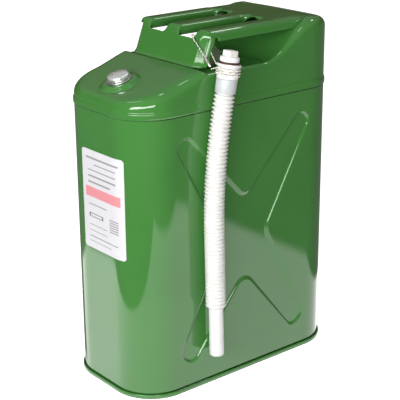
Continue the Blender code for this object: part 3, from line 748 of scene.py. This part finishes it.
def bridge_columns():
    """The cross-section from left to right, as (place on a bar, drop on a bar, place on the flat, kind)."""
    half = [(0.0, 0.0, 0.0, "top"), (0.0060, 0.0, 0.0060, "top"), (0.0098, 0.0006, 0.0105, "top")]
    half += bar_side(BAR_HALF, 1)
    for share in (0.33, 0.67):
        left, right = BAR_HALF + FLARE, BAR_PITCH - BAR_HALF - FLARE
        x = left + (right - left) * share
        half.append((x, 0.0, x, "valley"))
    half += list(reversed(bar_side(BAR_PITCH - BAR_HALF, -1)))
    half.append((BAR_PITCH - 0.0098, 0.0006, BAR_PITCH - 0.0105, "top"))
    for x in (BAR_PITCH - 0.0060, BAR_PITCH - 0.0020):
        half.append((x, 0.0, x, "top"))
    edge = BRIDGE_HALF
    half.append((edge - 0.0080, 0.0, edge - 0.0140, "top"))
    for share in (0.0, 0.33, 0.67, 1.0):
        x_bar, x_flat = edge - 0.0050 + 0.0034 * share, edge - 0.0128 + 0.0088 * share
        half.append((x_bar, 0.0015 + 0.0033 * share, x_flat, "rim"))
    half.append((edge, 0.0088, edge - 0.0030, "outer"))
    half.append((edge, 0.0110, edge - 0.0018, "outer"))
    half.append((edge, BAR_DROP - 0.0010, edge - 0.0008, "outer"))
    half.append((edge, BAR_DROP, edge - 0.0006, "outer"))
    return [(-a, b, -c, kind) for a, b, c, kind in reversed(half[1:])] + half


def bar_side(edge, side):
    """The turned-down side of a bar, from its shoulder to its free edge."""
    made = []
    profile = [(0.0028, 0.0006, 0.0010), (0.0065, 0.0, 0.0030)]
    profile += [(BAR_DROP - 0.0020, 0.0014, 0.0055), (BAR_DROP, 0.0032, FLARE)]
    for drop, curl, spread in profile:
        made.append((edge - side * curl, drop, edge + side * spread, "side"))
    return made


def bridge_rows():
    """The section along the middle, as (y, z, how far the sides turn down, whether the slots are open)."""
    lean = (WALL_HEAD_Y - WALL_FOOT[0]) / (BRIDGE_TOP - WALL_FOOT[1])

    def wall(z):
        return WALL_FOOT[0] + (z - WALL_FOOT[1]) * lean

    rows = [(wall(WALL_FOOT[1]) - 0.0022, WALL_FOOT[1] - 0.0006, 0.0, 0)]
    rows += [(wall(WALL_FOOT[1]) - 0.0009, WALL_FOOT[1] + 0.0004, 0.0, 0)]
    rows += [(wall(z), z, 0.0, 0) for z in (0.4335, 0.4365, 0.4460, 0.4555, VALLEY - 0.0012, VALLEY)]
    rows += [(wall(0.4690) + 0.0003, 0.4690, 0.55, 1), (wall(0.4720) + 0.0012, 0.4725, 0.85, 1)]
    rows += [(WALL_HEAD_Y + 0.0018, 0.4745, 0.97, 1), (WALL_HEAD_Y + 0.0050, BRIDGE_TOP, 1.0, 1)]
    rows += [(y, BRIDGE_TOP, 1.0, 1) for y in steps(-0.034, SLOT_END - 0.010, 5)]
    rows += [(SLOT_END - 0.0045, BRIDGE_TOP, 0.97, 1), (SLOT_END - 0.0015, BRIDGE_TOP, 0.80, 1)]
    rows += [(SLOT_END, BRIDGE_TOP, 0.30, 0), (SLOT_END + 0.0035, BRIDGE_TOP, 0.0, 0)]
    start = BRIDGE_REAR - REAR_CORNER
    rows += [(y, BRIDGE_TOP, 0.0, 0) for y in steps(SLOT_END + 0.012, start, 3)]
    for angle in (20, 38, 54, 68, 80):
        rows.append((start + REAR_CORNER * math.sin(math.radians(angle)), BRIDGE_TOP, 0.0, 0))
    rows.append((BRIDGE_REAR - 0.0006, BRIDGE_TOP - 0.0002, 0.0, 0))
    rows.append((BRIDGE_REAR, BRIDGE_TOP - 0.0008, 0.0, 0))
    return rows


def rear_narrowing(y):
    into = y - (BRIDGE_REAR - REAR_CORNER)
    if into <= 0:
        return 1.0
    reach = BRIDGE_HALF - REAR_CORNER + math.sqrt(max(REAR_CORNER**2 - into**2, 0.0))
    return reach / BRIDGE_HALF


def bridge_point(row, column, turned_back):
    """One point of the cage. turned_back is 0 on the front wall, where the outer sides turn to the rear."""
    y, z, turned, _ = row
    x_bar, drop, x_flat, kind = column
    if kind == "rim":
        x = x_flat + (x_bar - x_flat) * turned_back
        back = max(drop - 0.0010, 0.0) * 1.70 * (1 - turned_back)
        return (math.copysign(abs(x) * rear_narrowing(y), x), y + back, z - drop * turned_back)
    if kind == "outer":
        share = drop / BAR_DROP
        low = max(BRIDGE_TOP - BAR_DROP, cover_height(y) + 0.0004)
        depth = (BRIDGE_TOP - low) * share * turned_back
        x = x_flat + (x_bar - x_flat) * turned_back
        return (x * rear_narrowing(y), y + FLANGE * share * (1 - turned_back), z - depth)
    x = x_flat + (x_bar - x_flat) * turned
    fall = drop * turned if kind != "top" else drop * max(turned, turned_back)
    return (x * rear_narrowing(y), y, z - fall)


def build_bridge(material):
    """One pressing, as a subdivided sheet: the wall, the three bars and the plate behind them."""
    columns = bridge_columns()
    rows = bridge_rows()
    bm = bmesh.new()
    grid = []
    for row in rows:
        turned_back = smoothstep(row[1] if row[0] < 0 else 1.0, 0.4690, 0.4752)
        line = []
        for column in columns:
            open_here = column[3] == "valley" and row[3]
            line.append(None if open_here else bm.verts.new(bridge_point(row, column, turned_back)))
        grid.append(line)
    for i in range(len(rows) - 1):
        for j in range(len(columns) - 1):
            corners = (grid[i][j], grid[i][j + 1], grid[i + 1][j + 1], grid[i + 1][j])
            left_out = bridges_a_slot(rows, columns, i, j) or corner_relief(rows, columns, i, j)
            if None not in corners and not left_out:
                bm.faces.new(corners)
    bridge = make_piece("handle_pressing", bm, material, "can", ["handle_bridge"], 180)
    modifier(bridge, "SUBSURF", levels=2, render_levels=2)
    modifier(bridge, "SOLIDIFY", thickness=BRIDGE_SHEET, offset=-1.0)
    return bridge


def corner_relief(rows, columns, i, j):
    """The turned-back edge of the wall and the turned-down edge of the bar are cut apart at the bend."""
    at_bend = rows[i][1] > 0.4685 and rows[i][0] < -0.0400
    return at_bend and columns[j][3] == "outer" and columns[j + 1][3] == "outer"


def bridges_a_slot(rows, columns, i, j):
    kinds = {columns[j][3], columns[j + 1][3]}
    return "valley" in kinds and (rows[i][3] or rows[i + 1][3])


# ======================================================================== turned pieces


def turn(bm, profile, matrix, count=64):
    """Turns a closed (radius, height) outline round a matrix's Z."""
    rings = []
    for radius, height in profile:
        if radius < 1e-6:
            rings.append([bm.verts.new(matrix @ Vector((0, 0, height)))])
            continue
        rings.append(ring(bm, circle(radius, height, count, matrix)))
    pairs = list(zip(rings, rings[1:]))
    if len(rings[0]) > 1 and len(rings[-1]) > 1:
        pairs.append((rings[-1], rings[0]))
    for first, second in pairs:
        if len(first) == 1 or len(second) == 1:
            tip, loop = (first[0], second) if len(first) == 1 else (second[0], first)
            for i in range(len(loop)):
                bm.faces.new((tip, loop[i], loop[(i + 1) % len(loop)]))
        else:
            bridge_rings(bm, first, second)


def turned_piece(name, profile, matrix, count, material, body, slot, node, smooth_below=40):
    bm = bmesh.new()
    turn(bm, profile, matrix, count)
    return make_piece(name, bm, material, body, [node], smooth_below)


def rounded_profile(points, radius=0.0003, count=3):
    """A closed outline of (radius, height) corners with each corner eased by a small arc."""
    made = []
    for i, here in enumerate(points):
        here = Vector(here)
        before = Vector(points[i - 1]) - here
        after = Vector(points[(i + 1) % len(points)]) - here
        on_axis = here.x < 1e-6
        if on_axis or before.length < 1e-7 or after.length < 1e-7:
            made.append(tuple(here))
            continue
        reach = min(radius, before.length * 0.45, after.length * 0.45)
        start, end = here + before.normalized() * reach, here + after.normalized() * reach
        for step in range(count + 1):
            share = step / count
            bend = (1 - share) ** 2 * start + 2 * share * (1 - share) * here + share**2 * end
            made.append((bend.x, bend.y))
    return made


def axis_matrix(origin, direction):
    z = Vector(direction).normalized()
    x = Vector((1.0, 0.0, 0.0))
    y = z.cross(x)
    return Matrix.Translation(Vector(origin)) @ Matrix((x, y, z)).transposed().to_4x4()


def filler_matrix():
    origin, axis = filler_frame()
    return axis_matrix(origin, axis)


def head_matrix():
    return axis_matrix((NOZZLE_X, *HOSE_TOP), (0.0, HEAD_LEAN, 1.0))


def build_cap(material):
    """A lens-shaped cap that stands out over a rolled edge and a short skirt."""
    top, edge = 0.0110, 0.0143
    profile = [(edge * share * 0.93, top - 0.0022 * share**2.2) for share in steps(0.0, 1.0, 12)]
    profile += [(0.0138, 0.0083), (0.0142, 0.0079), (edge, 0.0075), (0.0141, 0.0071), (0.0137, 0.0068)]
    profile += [(0.0135, 0.0062), (0.0135, 0.0036), (0.0133, 0.0034), (0.0129, 0.0034), (0.0127, 0.0036)]
    profile += [(0.0127, 0.0078), (0.0122, 0.0082), (0.0, 0.0082)]
    return turned_piece("cap_lens", profile, filler_matrix(), 96, material, "cap", "cap_chrome", "filler_cap")


def build_neck(material):
    """The threaded neck and the round flange that is clamped on the boss."""
    bore, outer, crest, rim = 0.0097, 0.0115, 0.0122, 0.0056
    flange_low, flange_high, flange = 0.0015, 0.0027, 0.0165
    profile = [(bore, rim), (outer, rim)]
    for height in (0.0048, 0.0036):
        profile += [(outer, height + 0.0005), (crest, height), (outer, height - 0.0005)]
    profile += [(outer, flange_high), (flange, flange_high), (flange, flange_low), (outer, flange_low)]
    profile += [(outer, -0.0120), (bore, -0.0120)]
    profile = rounded_profile(profile, 0.0003)
    kept = (material, "can", "plated_steel", "filler_neck")
    return turned_piece("neck_ring", profile, filler_matrix(), 80, *kept)


def build_connector(material):
    """The smooth cuff above the hose, with the neck that the union nut turns on."""
    profile = [
        (0.0075, 0.0210), (0.0125, 0.0210), (0.0125, 0.0195), (0.0100, 0.0195), (0.0100, 0.0177),
        (0.0137, 0.0177), (0.0131, 0.0000), (0.0108, 0.0000), (0.0108, 0.0120), (0.0075, 0.0150),
    ]
    profile = rounded_profile(profile, 0.0006)
    kept = (material, "nozzle", "white_plastic", "hose_connector")
    return turned_piece("nozzle_cuff", profile, head_matrix(), 64, *kept)


def build_union(material):
    """The union nut: a flange over a collar with shallow grip rings."""
    collar, flange, bore, chamber = 0.0139, 0.0158, 0.0103, 0.0128
    profile = [(bore, 0.0365), (flange - 0.0004, 0.0365), (flange, 0.0360), (flange, 0.0340)]
    profile += [(flange - 0.0006, 0.0334), (collar, 0.0328)]
    for step in range(1, 14):
        height = 0.0328 - 0.0011 * step
        groove = 0.0003 if step % 2 else 0.0
        profile.append((collar - groove, height))
    profile += [(collar - 0.0004, 0.0180), (bore, 0.0180), (bore, 0.0192), (chamber, 0.0192)]
    profile += [(chamber, 0.0235), (bore, 0.0240)]
    profile = rounded_profile(profile, 0.0003, 2)
    kept = (material, "union", "white_plastic", "union_nut")
    return turned_piece("union_ring", profile, head_matrix(), 72, *kept)


def build_plug(material):
    """The stopper: a hollow shank, a flange with grip flutes and a square head."""
    matrix = head_matrix()
    bm = bmesh.new()
    count = 96
    rings = []
    flutes = 32
    outline = [(0.0070, 0.0240, 0), (0.0098, 0.0240, 0), (0.0100, 0.0243, 0), (0.0100, 0.0391, 0)]
    outline += [(0.0117, 0.0391, 0), (0.0122, 0.0394, 1), (0.0123, 0.0400, 1), (0.0123, 0.0444, 1)]
    outline += [(0.0121, 0.0451, 1), (0.0115, 0.0455, 0), (0.0070, 0.0455, 0)]
    for radius, height, fluted in outline:
        points = []
        for i in range(count):
            angle = 2 * math.pi * i / count
            cut_in = 0.00045 * fluted * (0.5 + 0.5 * math.cos(flutes * angle))
            at = Vector(((radius - cut_in) * math.cos(angle), (radius - cut_in) * math.sin(angle), height))
            points.append(matrix @ at)
        rings.append(ring(bm, points))
    skin(bm, rings + [rings[0]])
    square_head(bm, matrix)
    return make_piece("plug_stopper", bm, material, "plug", ["nozzle_plug"], 35)


def square_head(bm, matrix):
    """The square grip on the stopper, with eased edges and a shallow recess in its top."""
    half, low, high, ease = 0.0072, 0.0440, 0.0532, 0.0007
    levels = [(half, low), (half, high - ease), (half - ease * 0.3, high - ease * 0.3), (half - ease, high)]
    levels += [(half - 0.0020, high), (half - 0.0023, high - 0.0004), (half - 0.0025, high - 0.0012)]
    rings = []
    for reach, z in levels:
        corner = max(0.0016 - (half - reach) * 0.5, 0.0004)
        points = []
        for quarter in range(4):
            for step in range(5):
                angle = math.radians(90 * quarter + 90 * step / 4)
                base = Vector((reach - corner, reach - corner))
                base.rotate(Matrix.Rotation(math.radians(90 * quarter), 2))
                base.x += corner * math.cos(angle)
                base.y += corner * math.sin(angle)
                points.append(matrix @ Vector((base.x, base.y, z)))
        rings.append(ring(bm, points))
    skin(bm, rings)
    bm.faces.new(rings[0])
    bm.faces.new(rings[-1])


def build_plug_gasket(material):
    profile = [(0.0103, 0.0388), (0.0132, 0.0388), (0.0132, 0.0368), (0.0103, 0.0368)]
    profile = rounded_profile(profile, 0.0006, 4)
    kept = (material, "plug_seat", "seal_rubber", "plug_gasket")
    return turned_piece("stopper_seal", profile, head_matrix(), 64, *kept)


# ======================================================================== the hose and the spout


def hose_y(z):
    """The hose's axis: a gentle bow above the bend, and straight below it."""
    mid_y, mid_z = HOSE_MID
    if z > mid_z:
        return mid_y + (HOSE_TOP[0] - mid_y) * ((z - mid_z) / (HOSE_TOP[1] - mid_z)) ** 2
    return mid_y + (SPOUT_END[0] - mid_y) * (mid_z - z) / (mid_z - SPOUT_END[1])


def hose_frame(z):
    step = 0.001
    direction = Vector((0.0, hose_y(z + step) - hose_y(z - step), 2 * step))
    return axis_matrix((NOZZLE_X, hose_y(z), z), direction)


def build_hose(material):
    """Blown corrugated hose: round crests and narrower roots, with a plain cuff at each end."""
    top, low = HOSE_TOP[1] - 0.0006, HOSE_END_Z
    pitch, crest, root, wall = HOSE_PITCH, HOSE_CREST, HOSE_ROOT, 0.0010
    rings_per_pitch, count = 8, 48
    waves = round((top - low - 0.004) / pitch)
    total = waves * rings_per_pitch
    outside = []
    for i in range(total + 1):
        z = top - 0.001 - (top - low - 0.003) * i / total
        swing = 0.5 + 0.5 * math.cos(2 * math.pi * i / rings_per_pitch + math.pi)
        outside.append((root + (crest - root) * swing**0.75, z))
    bm = bmesh.new()
    profile = [(root - wall, top), (root, top)] + outside + [(root, low), (root - wall, low)]
    bore = [(root - wall, z) for z in steps(low, top, 60)[1:-1]]
    rings = [ring(bm, circle(radius, 0.0, count, hose_frame(z))) for radius, z in profile + bore]
    skin(bm, rings + [rings[0]])
    halves = ["hose_upper", "hose_lower"]
    hose = make_piece("corrugated_hose", bm, material, None, halves, 60)
    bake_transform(hose)
    return hose


def build_spout(material):
    low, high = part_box("spout_tube")
    radius, wall = (high.x - low.x) / 2, 0.0015
    bm = bmesh.new()
    outside = [(radius, z) for z in steps(HOSE_END_Z + 0.018, low.z + 0.0004, 14)]
    profile = [(radius - wall, HOSE_END_Z + 0.019), (radius - 0.0003, HOSE_END_Z + 0.019)] + outside
    profile += [(radius - 0.0003, low.z), (radius - wall + 0.0003, low.z), (radius - wall, low.z + 0.0004)]
    rings = []
    for reach, z in profile:
        centre = Matrix.Translation((NOZZLE_X, hose_y(z), z))
        rings.append(ring(bm, circle(reach, 0.0, 56, centre)))
    skin(bm, rings + [rings[0]])
    return make_piece("spout_end", bm, material, "hose_end", ["spout_tube"], 40)


# ======================================================================== the chain

BEAD_RADIUS = 0.00125
BEAD_PITCH = 0.0031
WIRE_RADIUS = 0.00045


def smooth_path(points, per_span=16):
    """A Catmull-Rom curve through the points."""
    points = [Vector(p) for p in points]
    padded = [2 * points[0] - points[1]] + points + [2 * points[-1] - points[-2]]
    made = []
    for a, b, c, d in zip(padded, padded[1:], padded[2:], padded[3:]):
        squared, cubed = 2 * a - 5 * b + 4 * c - d, 3 * b - a - 3 * c + d
        for step in range(per_span):
            t = step / per_span
            made.append(0.5 * (2 * b + (c - a) * t + squared * t**2 + cubed * t**3))
    return made + [points[-1]]


def evenly(path, pitch):
    """Points a fixed distance apart along a path."""
    made, carried = [path[0]], 0.0
    for a, b in zip(path, path[1:]):
        length = (b - a).length
        while length and carried + length >= pitch:
            share = (pitch - carried) / length
            a = a + (b - a) * share
            made.append(a)
            length = (b - a).length
            carried = 0.0
        carried += length
    return made


def wire(bm, path, radius, count=8):
    rings = []
    side = Vector((0.3, 0.5, 0.81)).normalized()
    for i, at in enumerate(path):
        ahead = path[min(i + 1, len(path) - 1)] - path[max(i - 1, 0)]
        ahead.normalize()
        side = (side - ahead * side.dot(ahead)).normalized()
        other = ahead.cross(side)
        points = []
        for k in range(count):
            angle = 2 * math.pi * k / count
            points.append(at + (side * math.cos(angle) + other * math.sin(angle)) * radius)
        rings.append(ring(bm, points))
    skin(bm, rings)
    bm.faces.new(rings[0])
    bm.faces.new(rings[-1])


def beads(bm, places, radius):
    for at in places:
        bmesh.ops.create_icosphere(bm, subdivisions=2, radius=radius, matrix=Matrix.Translation(at))


def coupler_ends():
    joint = {j["name"]: Vector(j["pos_m"]) for j in frame["joints"] if "pos_m" in j}
    return joint["nozzle_swing"], joint["nozzle_lift"]


def build_chain(material):
    start, _ = coupler_ends()
    points = [
        start + Vector((-0.0008, 0.0002, 0.0005)),
        (0.0630, -0.0585, 0.4570),
        (0.0500, -0.0560, 0.4650),
        (0.0435, -0.0520, 0.4672),
        (0.0420, -0.0480, 0.4665),
        (0.0430, -0.0435, 0.4620),
        (0.0480, -0.0410, 0.4575),
        (0.0600, -0.0405, 0.4550),
        (0.0710, -0.0445, 0.4500),
        (0.0780, -0.0470, 0.4440),
        (0.0820, -0.0470, 0.4398),
        (0.0845, -0.0458, 0.4355),
    ]
    path = smooth_path(points)
    bm = bmesh.new()
    wire(bm, path, WIRE_RADIUS)
    beads(bm, evenly(path, BEAD_PITCH), BEAD_RADIUS)
    return make_piece("bead_chain", bm, material, "can", ["ball_chain"], 60)


def build_coupler(material):
    """The barrel that joins the chain's two ends."""
    start, end = coupler_ends()
    direction = end - start
    z = direction.normalized()
    x = z.orthogonal().normalized()
    matrix = Matrix.Translation(start) @ Matrix((x, z.cross(x), z)).transposed().to_4x4()
    length = direction.length
    radius = 0.0018
    profile = [(0.0, 0.0), (radius * 0.6, 0.0)]
    for share in steps(0.0, 1.0, 10):
        swell = 1.0 - 0.25 * (2 * share - 1) ** 6 - 0.12 * math.exp(-((share - 0.5) / 0.07) ** 2)
        profile.append((radius * swell, 0.0003 + (length - 0.0006) * share))
    profile += [(radius * 0.6, length), (0.0, length)]
    bm = bmesh.new()
    turn(bm, profile, matrix, 24)
    return make_piece("chain_barrel", bm, material, "tether_link", ["chain_coupler"], 50)


def build_tether(material):
    """The chain's end, wound round the union's collar."""
    head = head_matrix()
    _, end = coupler_ends()
    lead = head.inverted() @ (end + Vector((0.0021, 0.0004, -0.0021)))
    radius, pitch, start_height, turns = 0.0151, 0.0034, 0.0312, 2.6
    start_angle = math.atan2(lead.y, lead.x) + math.radians(22)
    points = [lead]
    count = 24
    for step in range(int(count * turns) + 1):
        angle = start_angle + 2 * math.pi * step / count
        height = start_height - pitch * step / count
        points.append(Vector((radius * math.cos(angle), radius * math.sin(angle), height)))
    path = smooth_path([head @ Vector(p) for p in points], 5)
    bm = bmesh.new()
    wire(bm, path, WIRE_RADIUS)
    beads(bm, evenly(path, 0.0026), 0.00108)
    return make_piece("tether_beads", bm, material, "nozzle", ["tether_loop"], 60)


# ======================================================================== the label


def wall_point(along, z, grow):
    """A point on the front wall at a distance along it from the middle, with the corner taken in."""
    flat = HALF_X - CORNER
    if abs(along) <= flat:
        return (along, -HALF_Y - grow, z)
    angle = (abs(along) - flat) / CORNER
    side = math.copysign(1.0, along)
    x = side * (flat + (CORNER + grow) * math.sin(angle))
    return (x, -HALF_Y + CORNER - (CORNER + grow) * math.cos(angle), z)


def along_front(x):
    """The distance along the front wall of a place across it."""
    flat = HALF_X - CORNER
    if abs(x) <= flat:
        return x
    return math.copysign(flat + CORNER * math.asin((abs(x) - flat) / CORNER), x)


def build_label(material):
    """A thin sticker with rounded corners, bent round the front corner of the tank."""
    left, right = along_front(LABEL_LOW.x), along_front(LABEL_HIGH.x)
    low, high = LABEL_LOW.z, LABEL_HIGH.z
    corner, thick, lift = 0.0035, 0.0003, 0.0002
    across, up = 40, 56
    bm = bmesh.new()
    layers = []
    for grow in (lift, lift + thick):
        rows = []
        for j in range(up + 1):
            z = low + (high - low) * j / up
            near = min(z - low, high - z)
            pull = corner - math.sqrt(max(corner**2 - max(corner - near, 0.0) ** 2, 0.0))
            a, b = left + pull, right - pull
            rows.append(ring(bm, [wall_point(a + (b - a) * i / across, z, grow) for i in range(across + 1)]))
        layers.append(rows)
        skin(bm, rows, closed=False)
    edge = []
    for rows in layers:
        loop = rows[0] + [r[-1] for r in rows[1:]] + rows[-1][-2::-1] + [r[0] for r in rows[-2:0:-1]]
        edge.append(loop)
    bridge_rings(bm, edge[0], edge[1])
    return make_piece("printed_label", bm, material, "can", ["front_label"], 40)


# ======================================================================== the studio


def towards(turn, rise):
    """The direction at a turn from -Y towards +X and at a rise, both in degrees."""
    turn, rise = math.radians(turn), math.radians(rise)
    return Vector((math.sin(turn) * math.cos(rise), -math.cos(turn) * math.cos(rise), math.sin(rise)))


def camera():
    """The photograph's viewpoint: above the can's nozzle side, with a long lens."""
    turn, roll = math.radians(CAMERA_TURN), math.radians(CAMERA_ROLL)
    back = towards(CAMERA_TURN, CAMERA_RISE)
    right = Vector((math.cos(turn), math.sin(turn), 0.0))
    up = back.cross(right)
    rolled = right * math.cos(roll) + up * math.sin(roll)
    upright = up * math.cos(roll) - right * math.sin(roll)
    data = bpy.data.cameras.new("camera")
    data.sensor_width = 36.0
    data.lens = CAMERA_LENS
    data.clip_start = 0.05
    obj = bpy.data.objects.new("camera", data)
    turned = Matrix((rolled, upright, back)).transposed().to_4x4()
    obj.matrix_world = Matrix.Translation(CAMERA_AIM + back * CAMERA_FAR) @ turned
    bpy.context.scene.collection.objects.link(obj)
    bpy.context.scene.camera = obj


def sheet_glare(n):
    """How bright the floor glows to the gloss: a painted bright sheet that fades to the right, with a painted
    shadow of the can at its left rear.
    """
    place = n.axes()
    x, y = place["X"], place["Y"]
    front = n.ramp(y, SHEET_FRONT - 0.012, SHEET_FRONT + 0.012)
    back = n.ramp(y, SHEET_BACK + 0.02, SHEET_BACK - 0.02)
    left = n.ramp(x, SHEET_LEFT - 0.03, SHEET_LEFT + 0.03)
    right = n.ramp(x, SHEET_RIGHT + 0.04, SHEET_RIGHT - 0.04)
    fade = n.ramp(x, -0.10, 0.15, 1.0, 0.74)
    # painted shadow of the can on the glowing sheet
    shadow = n.product(n.ramp(x, -0.02, -0.12), n.ramp(y, -0.185, -0.165))
    inside = n.product(front, back, left, right, fade, n.maths("SUBTRACT", 1.0, shadow))
    return n.maths("ADD", FLOOR_DULL, n.maths("MULTIPLY", inside, FLOOR_BRIGHT))


def floor():
    """A pale floor, nearly white to the camera. To the can's gloss it glows as a painted bright sheet on it
    and a dull room, and to other rays it glows evenly.
    """
    n = surface("pale_floor")
    nodes = n.tree.nodes
    mirrored = n.add("ShaderNodeEmission", Color=(1.0, 1.0, 0.985, 1.0), Strength=sheet_glare(n))
    bounced = n.add("ShaderNodeEmission", Color=grey(1.0), Strength=FLOOR_BOUNCE)
    lifted = n.add("ShaderNodeEmission", Color=grey(1.0), Strength=FLOOR_LIFT)
    n.finish(Base_Color=grey(0.9), Roughness=1.0, Specular_IOR_Level=0.0)
    seen = n.add("ShaderNodeAddShader", i0=nodes["Principled BSDF"].outputs[0], i1=lifted.outputs[0])
    path = nodes.new("ShaderNodeLightPath").outputs
    glossy = path["Is Glossy Ray"]
    other = n.add("ShaderNodeMixShader", i0=glossy, i1=bounced.outputs[0], i2=mirrored.outputs[0])
    shown = n.add("ShaderNodeMixShader", i0=path["Is Camera Ray"], i1=other.outputs[0], i2=seen.outputs[0])
    n.put(nodes["Material Output"], "Surface", shown.outputs[0])
    bm = bmesh.new()
    bmesh.ops.create_grid(bm, x_segments=2, y_segments=2, size=8.0)
    mesh = bpy.data.meshes.new("floor")
    bm.to_mesh(mesh)
    bm.free()
    mesh.materials.append(n.holder)
    obj = bpy.data.objects.new("floor", mesh)
    obj.location.z = -0.0002
    bpy.context.scene.collection.objects.link(obj)


def lamps():
    """A soft box in front, a small one for the bevel of the bridge's wall, and three narrow ones above."""
    place = Vector((0, 0, 0.30)) + towards(KEY_TURN, KEY_RISE) * KEY_FAR
    softbox("key", place, (0, 0, 0.25), KEY_SIZE, KEY_POWER)
    softbox("edge", EDGE_PLACE, EDGE_AIM, EDGE_SIZE, EDGE_POWER)
    for number, (place, size) in enumerate(OVERHEAD):
        power = OVERHEAD_GLOW * math.pi * size[0] * size[1]
        softbox(f"overhead_{number}", place, (place[0], place[1], 0.0), size, power)


def softbox(name, place, target, size, power):
    data = bpy.data.lights.new(name, "AREA")
    data.shape = "RECTANGLE"
    data.size, data.size_y = size
    data.energy = power
    obj = bpy.data.objects.new(name, data)
    obj.location = place
    obj.rotation_euler = (Vector(target) - Vector(place)).to_track_quat("-Z", "Y").to_euler()
    bpy.context.scene.collection.objects.link(obj)


def world():
    """White to the camera. To all else it is a room, dull and warm near the horizon and lighter overhead."""
    n = Nodes(bpy.data.worlds.new("studio"))
    nodes = n.tree.nodes
    height = n.axes("Generated")["Z"]
    room = nodes["Background"]
    n.put(room, "Strength", n.ramp(height, 0.28, 0.58, ROOM_LOW, ROOM_HIGH))
    n.put(room, "Color", n.mix(n.ramp(height, 0.2, 0.7, kind="LINEAR"), ROOM_WARM, grey(1.0)))
    white = n.add("ShaderNodeBackground", Color=grey(1.0))
    path = nodes.new("ShaderNodeLightPath").outputs
    shown = n.add("ShaderNodeMixShader", i0=path["Is Camera Ray"], i1=room.outputs[0], i2=white.outputs[0])
    n.put(nodes["World Output"], "Surface", shown.outputs[0])
    bpy.context.scene.world = n.holder


def studio():
    camera()
    floor()
    world()
    lamps()
    bpy.context.scene.view_settings.view_transform = "Standard"


# ======================================================================== the can


def main():
    paint = green_paint()
    plating, steel, nickel_plating = chrome(), zinc(), nickel()
    plastic = white_plastic("milky_plastic", (0.68, 0.67, 0.65, 1.0), (0.72, 0.72, 0.71, 1.0))
    # the cuff's plastic is a darker, slightly bluer copy of the milky plastic: the darkening is painted shade
    cuff_plastic_shaded = white_plastic("cuff_plastic_shaded", (0.476, 0.469, 0.455, 1.0), (0.4592, 0.504, 0.5306, 1.0))
    seal, print_paper = rubber(), label_paper()

    # the wall's enamel has painted shadow lines under the skirt and over the base rim
    build_wall(green_paint("seam_shadowed_enamel", True))
    build_base(paint)
    build_cover(paint)
    build_bridge(paint)
    build_label(print_paper)
    build_neck(steel)
    build_cap(plating)
    build_connector(cuff_plastic_shaded)
    build_union(plastic)
    build_plug(plastic)
    build_plug_gasket(seal)
    build_hose(plastic)
    build_spout(plastic)
    build_chain(nickel_plating)
    build_coupler(nickel_plating)
    build_tether(nickel_plating)
    kept = {"cap_gasket": seal, "nozzle_washer": seal, "cap_liner": steel, "breather_tube": steel}
    for node, material in kept.items():
        frame["nodes"][node].data.materials.clear()
        frame["nodes"][node].data.materials.append(material)
    studio()


main()
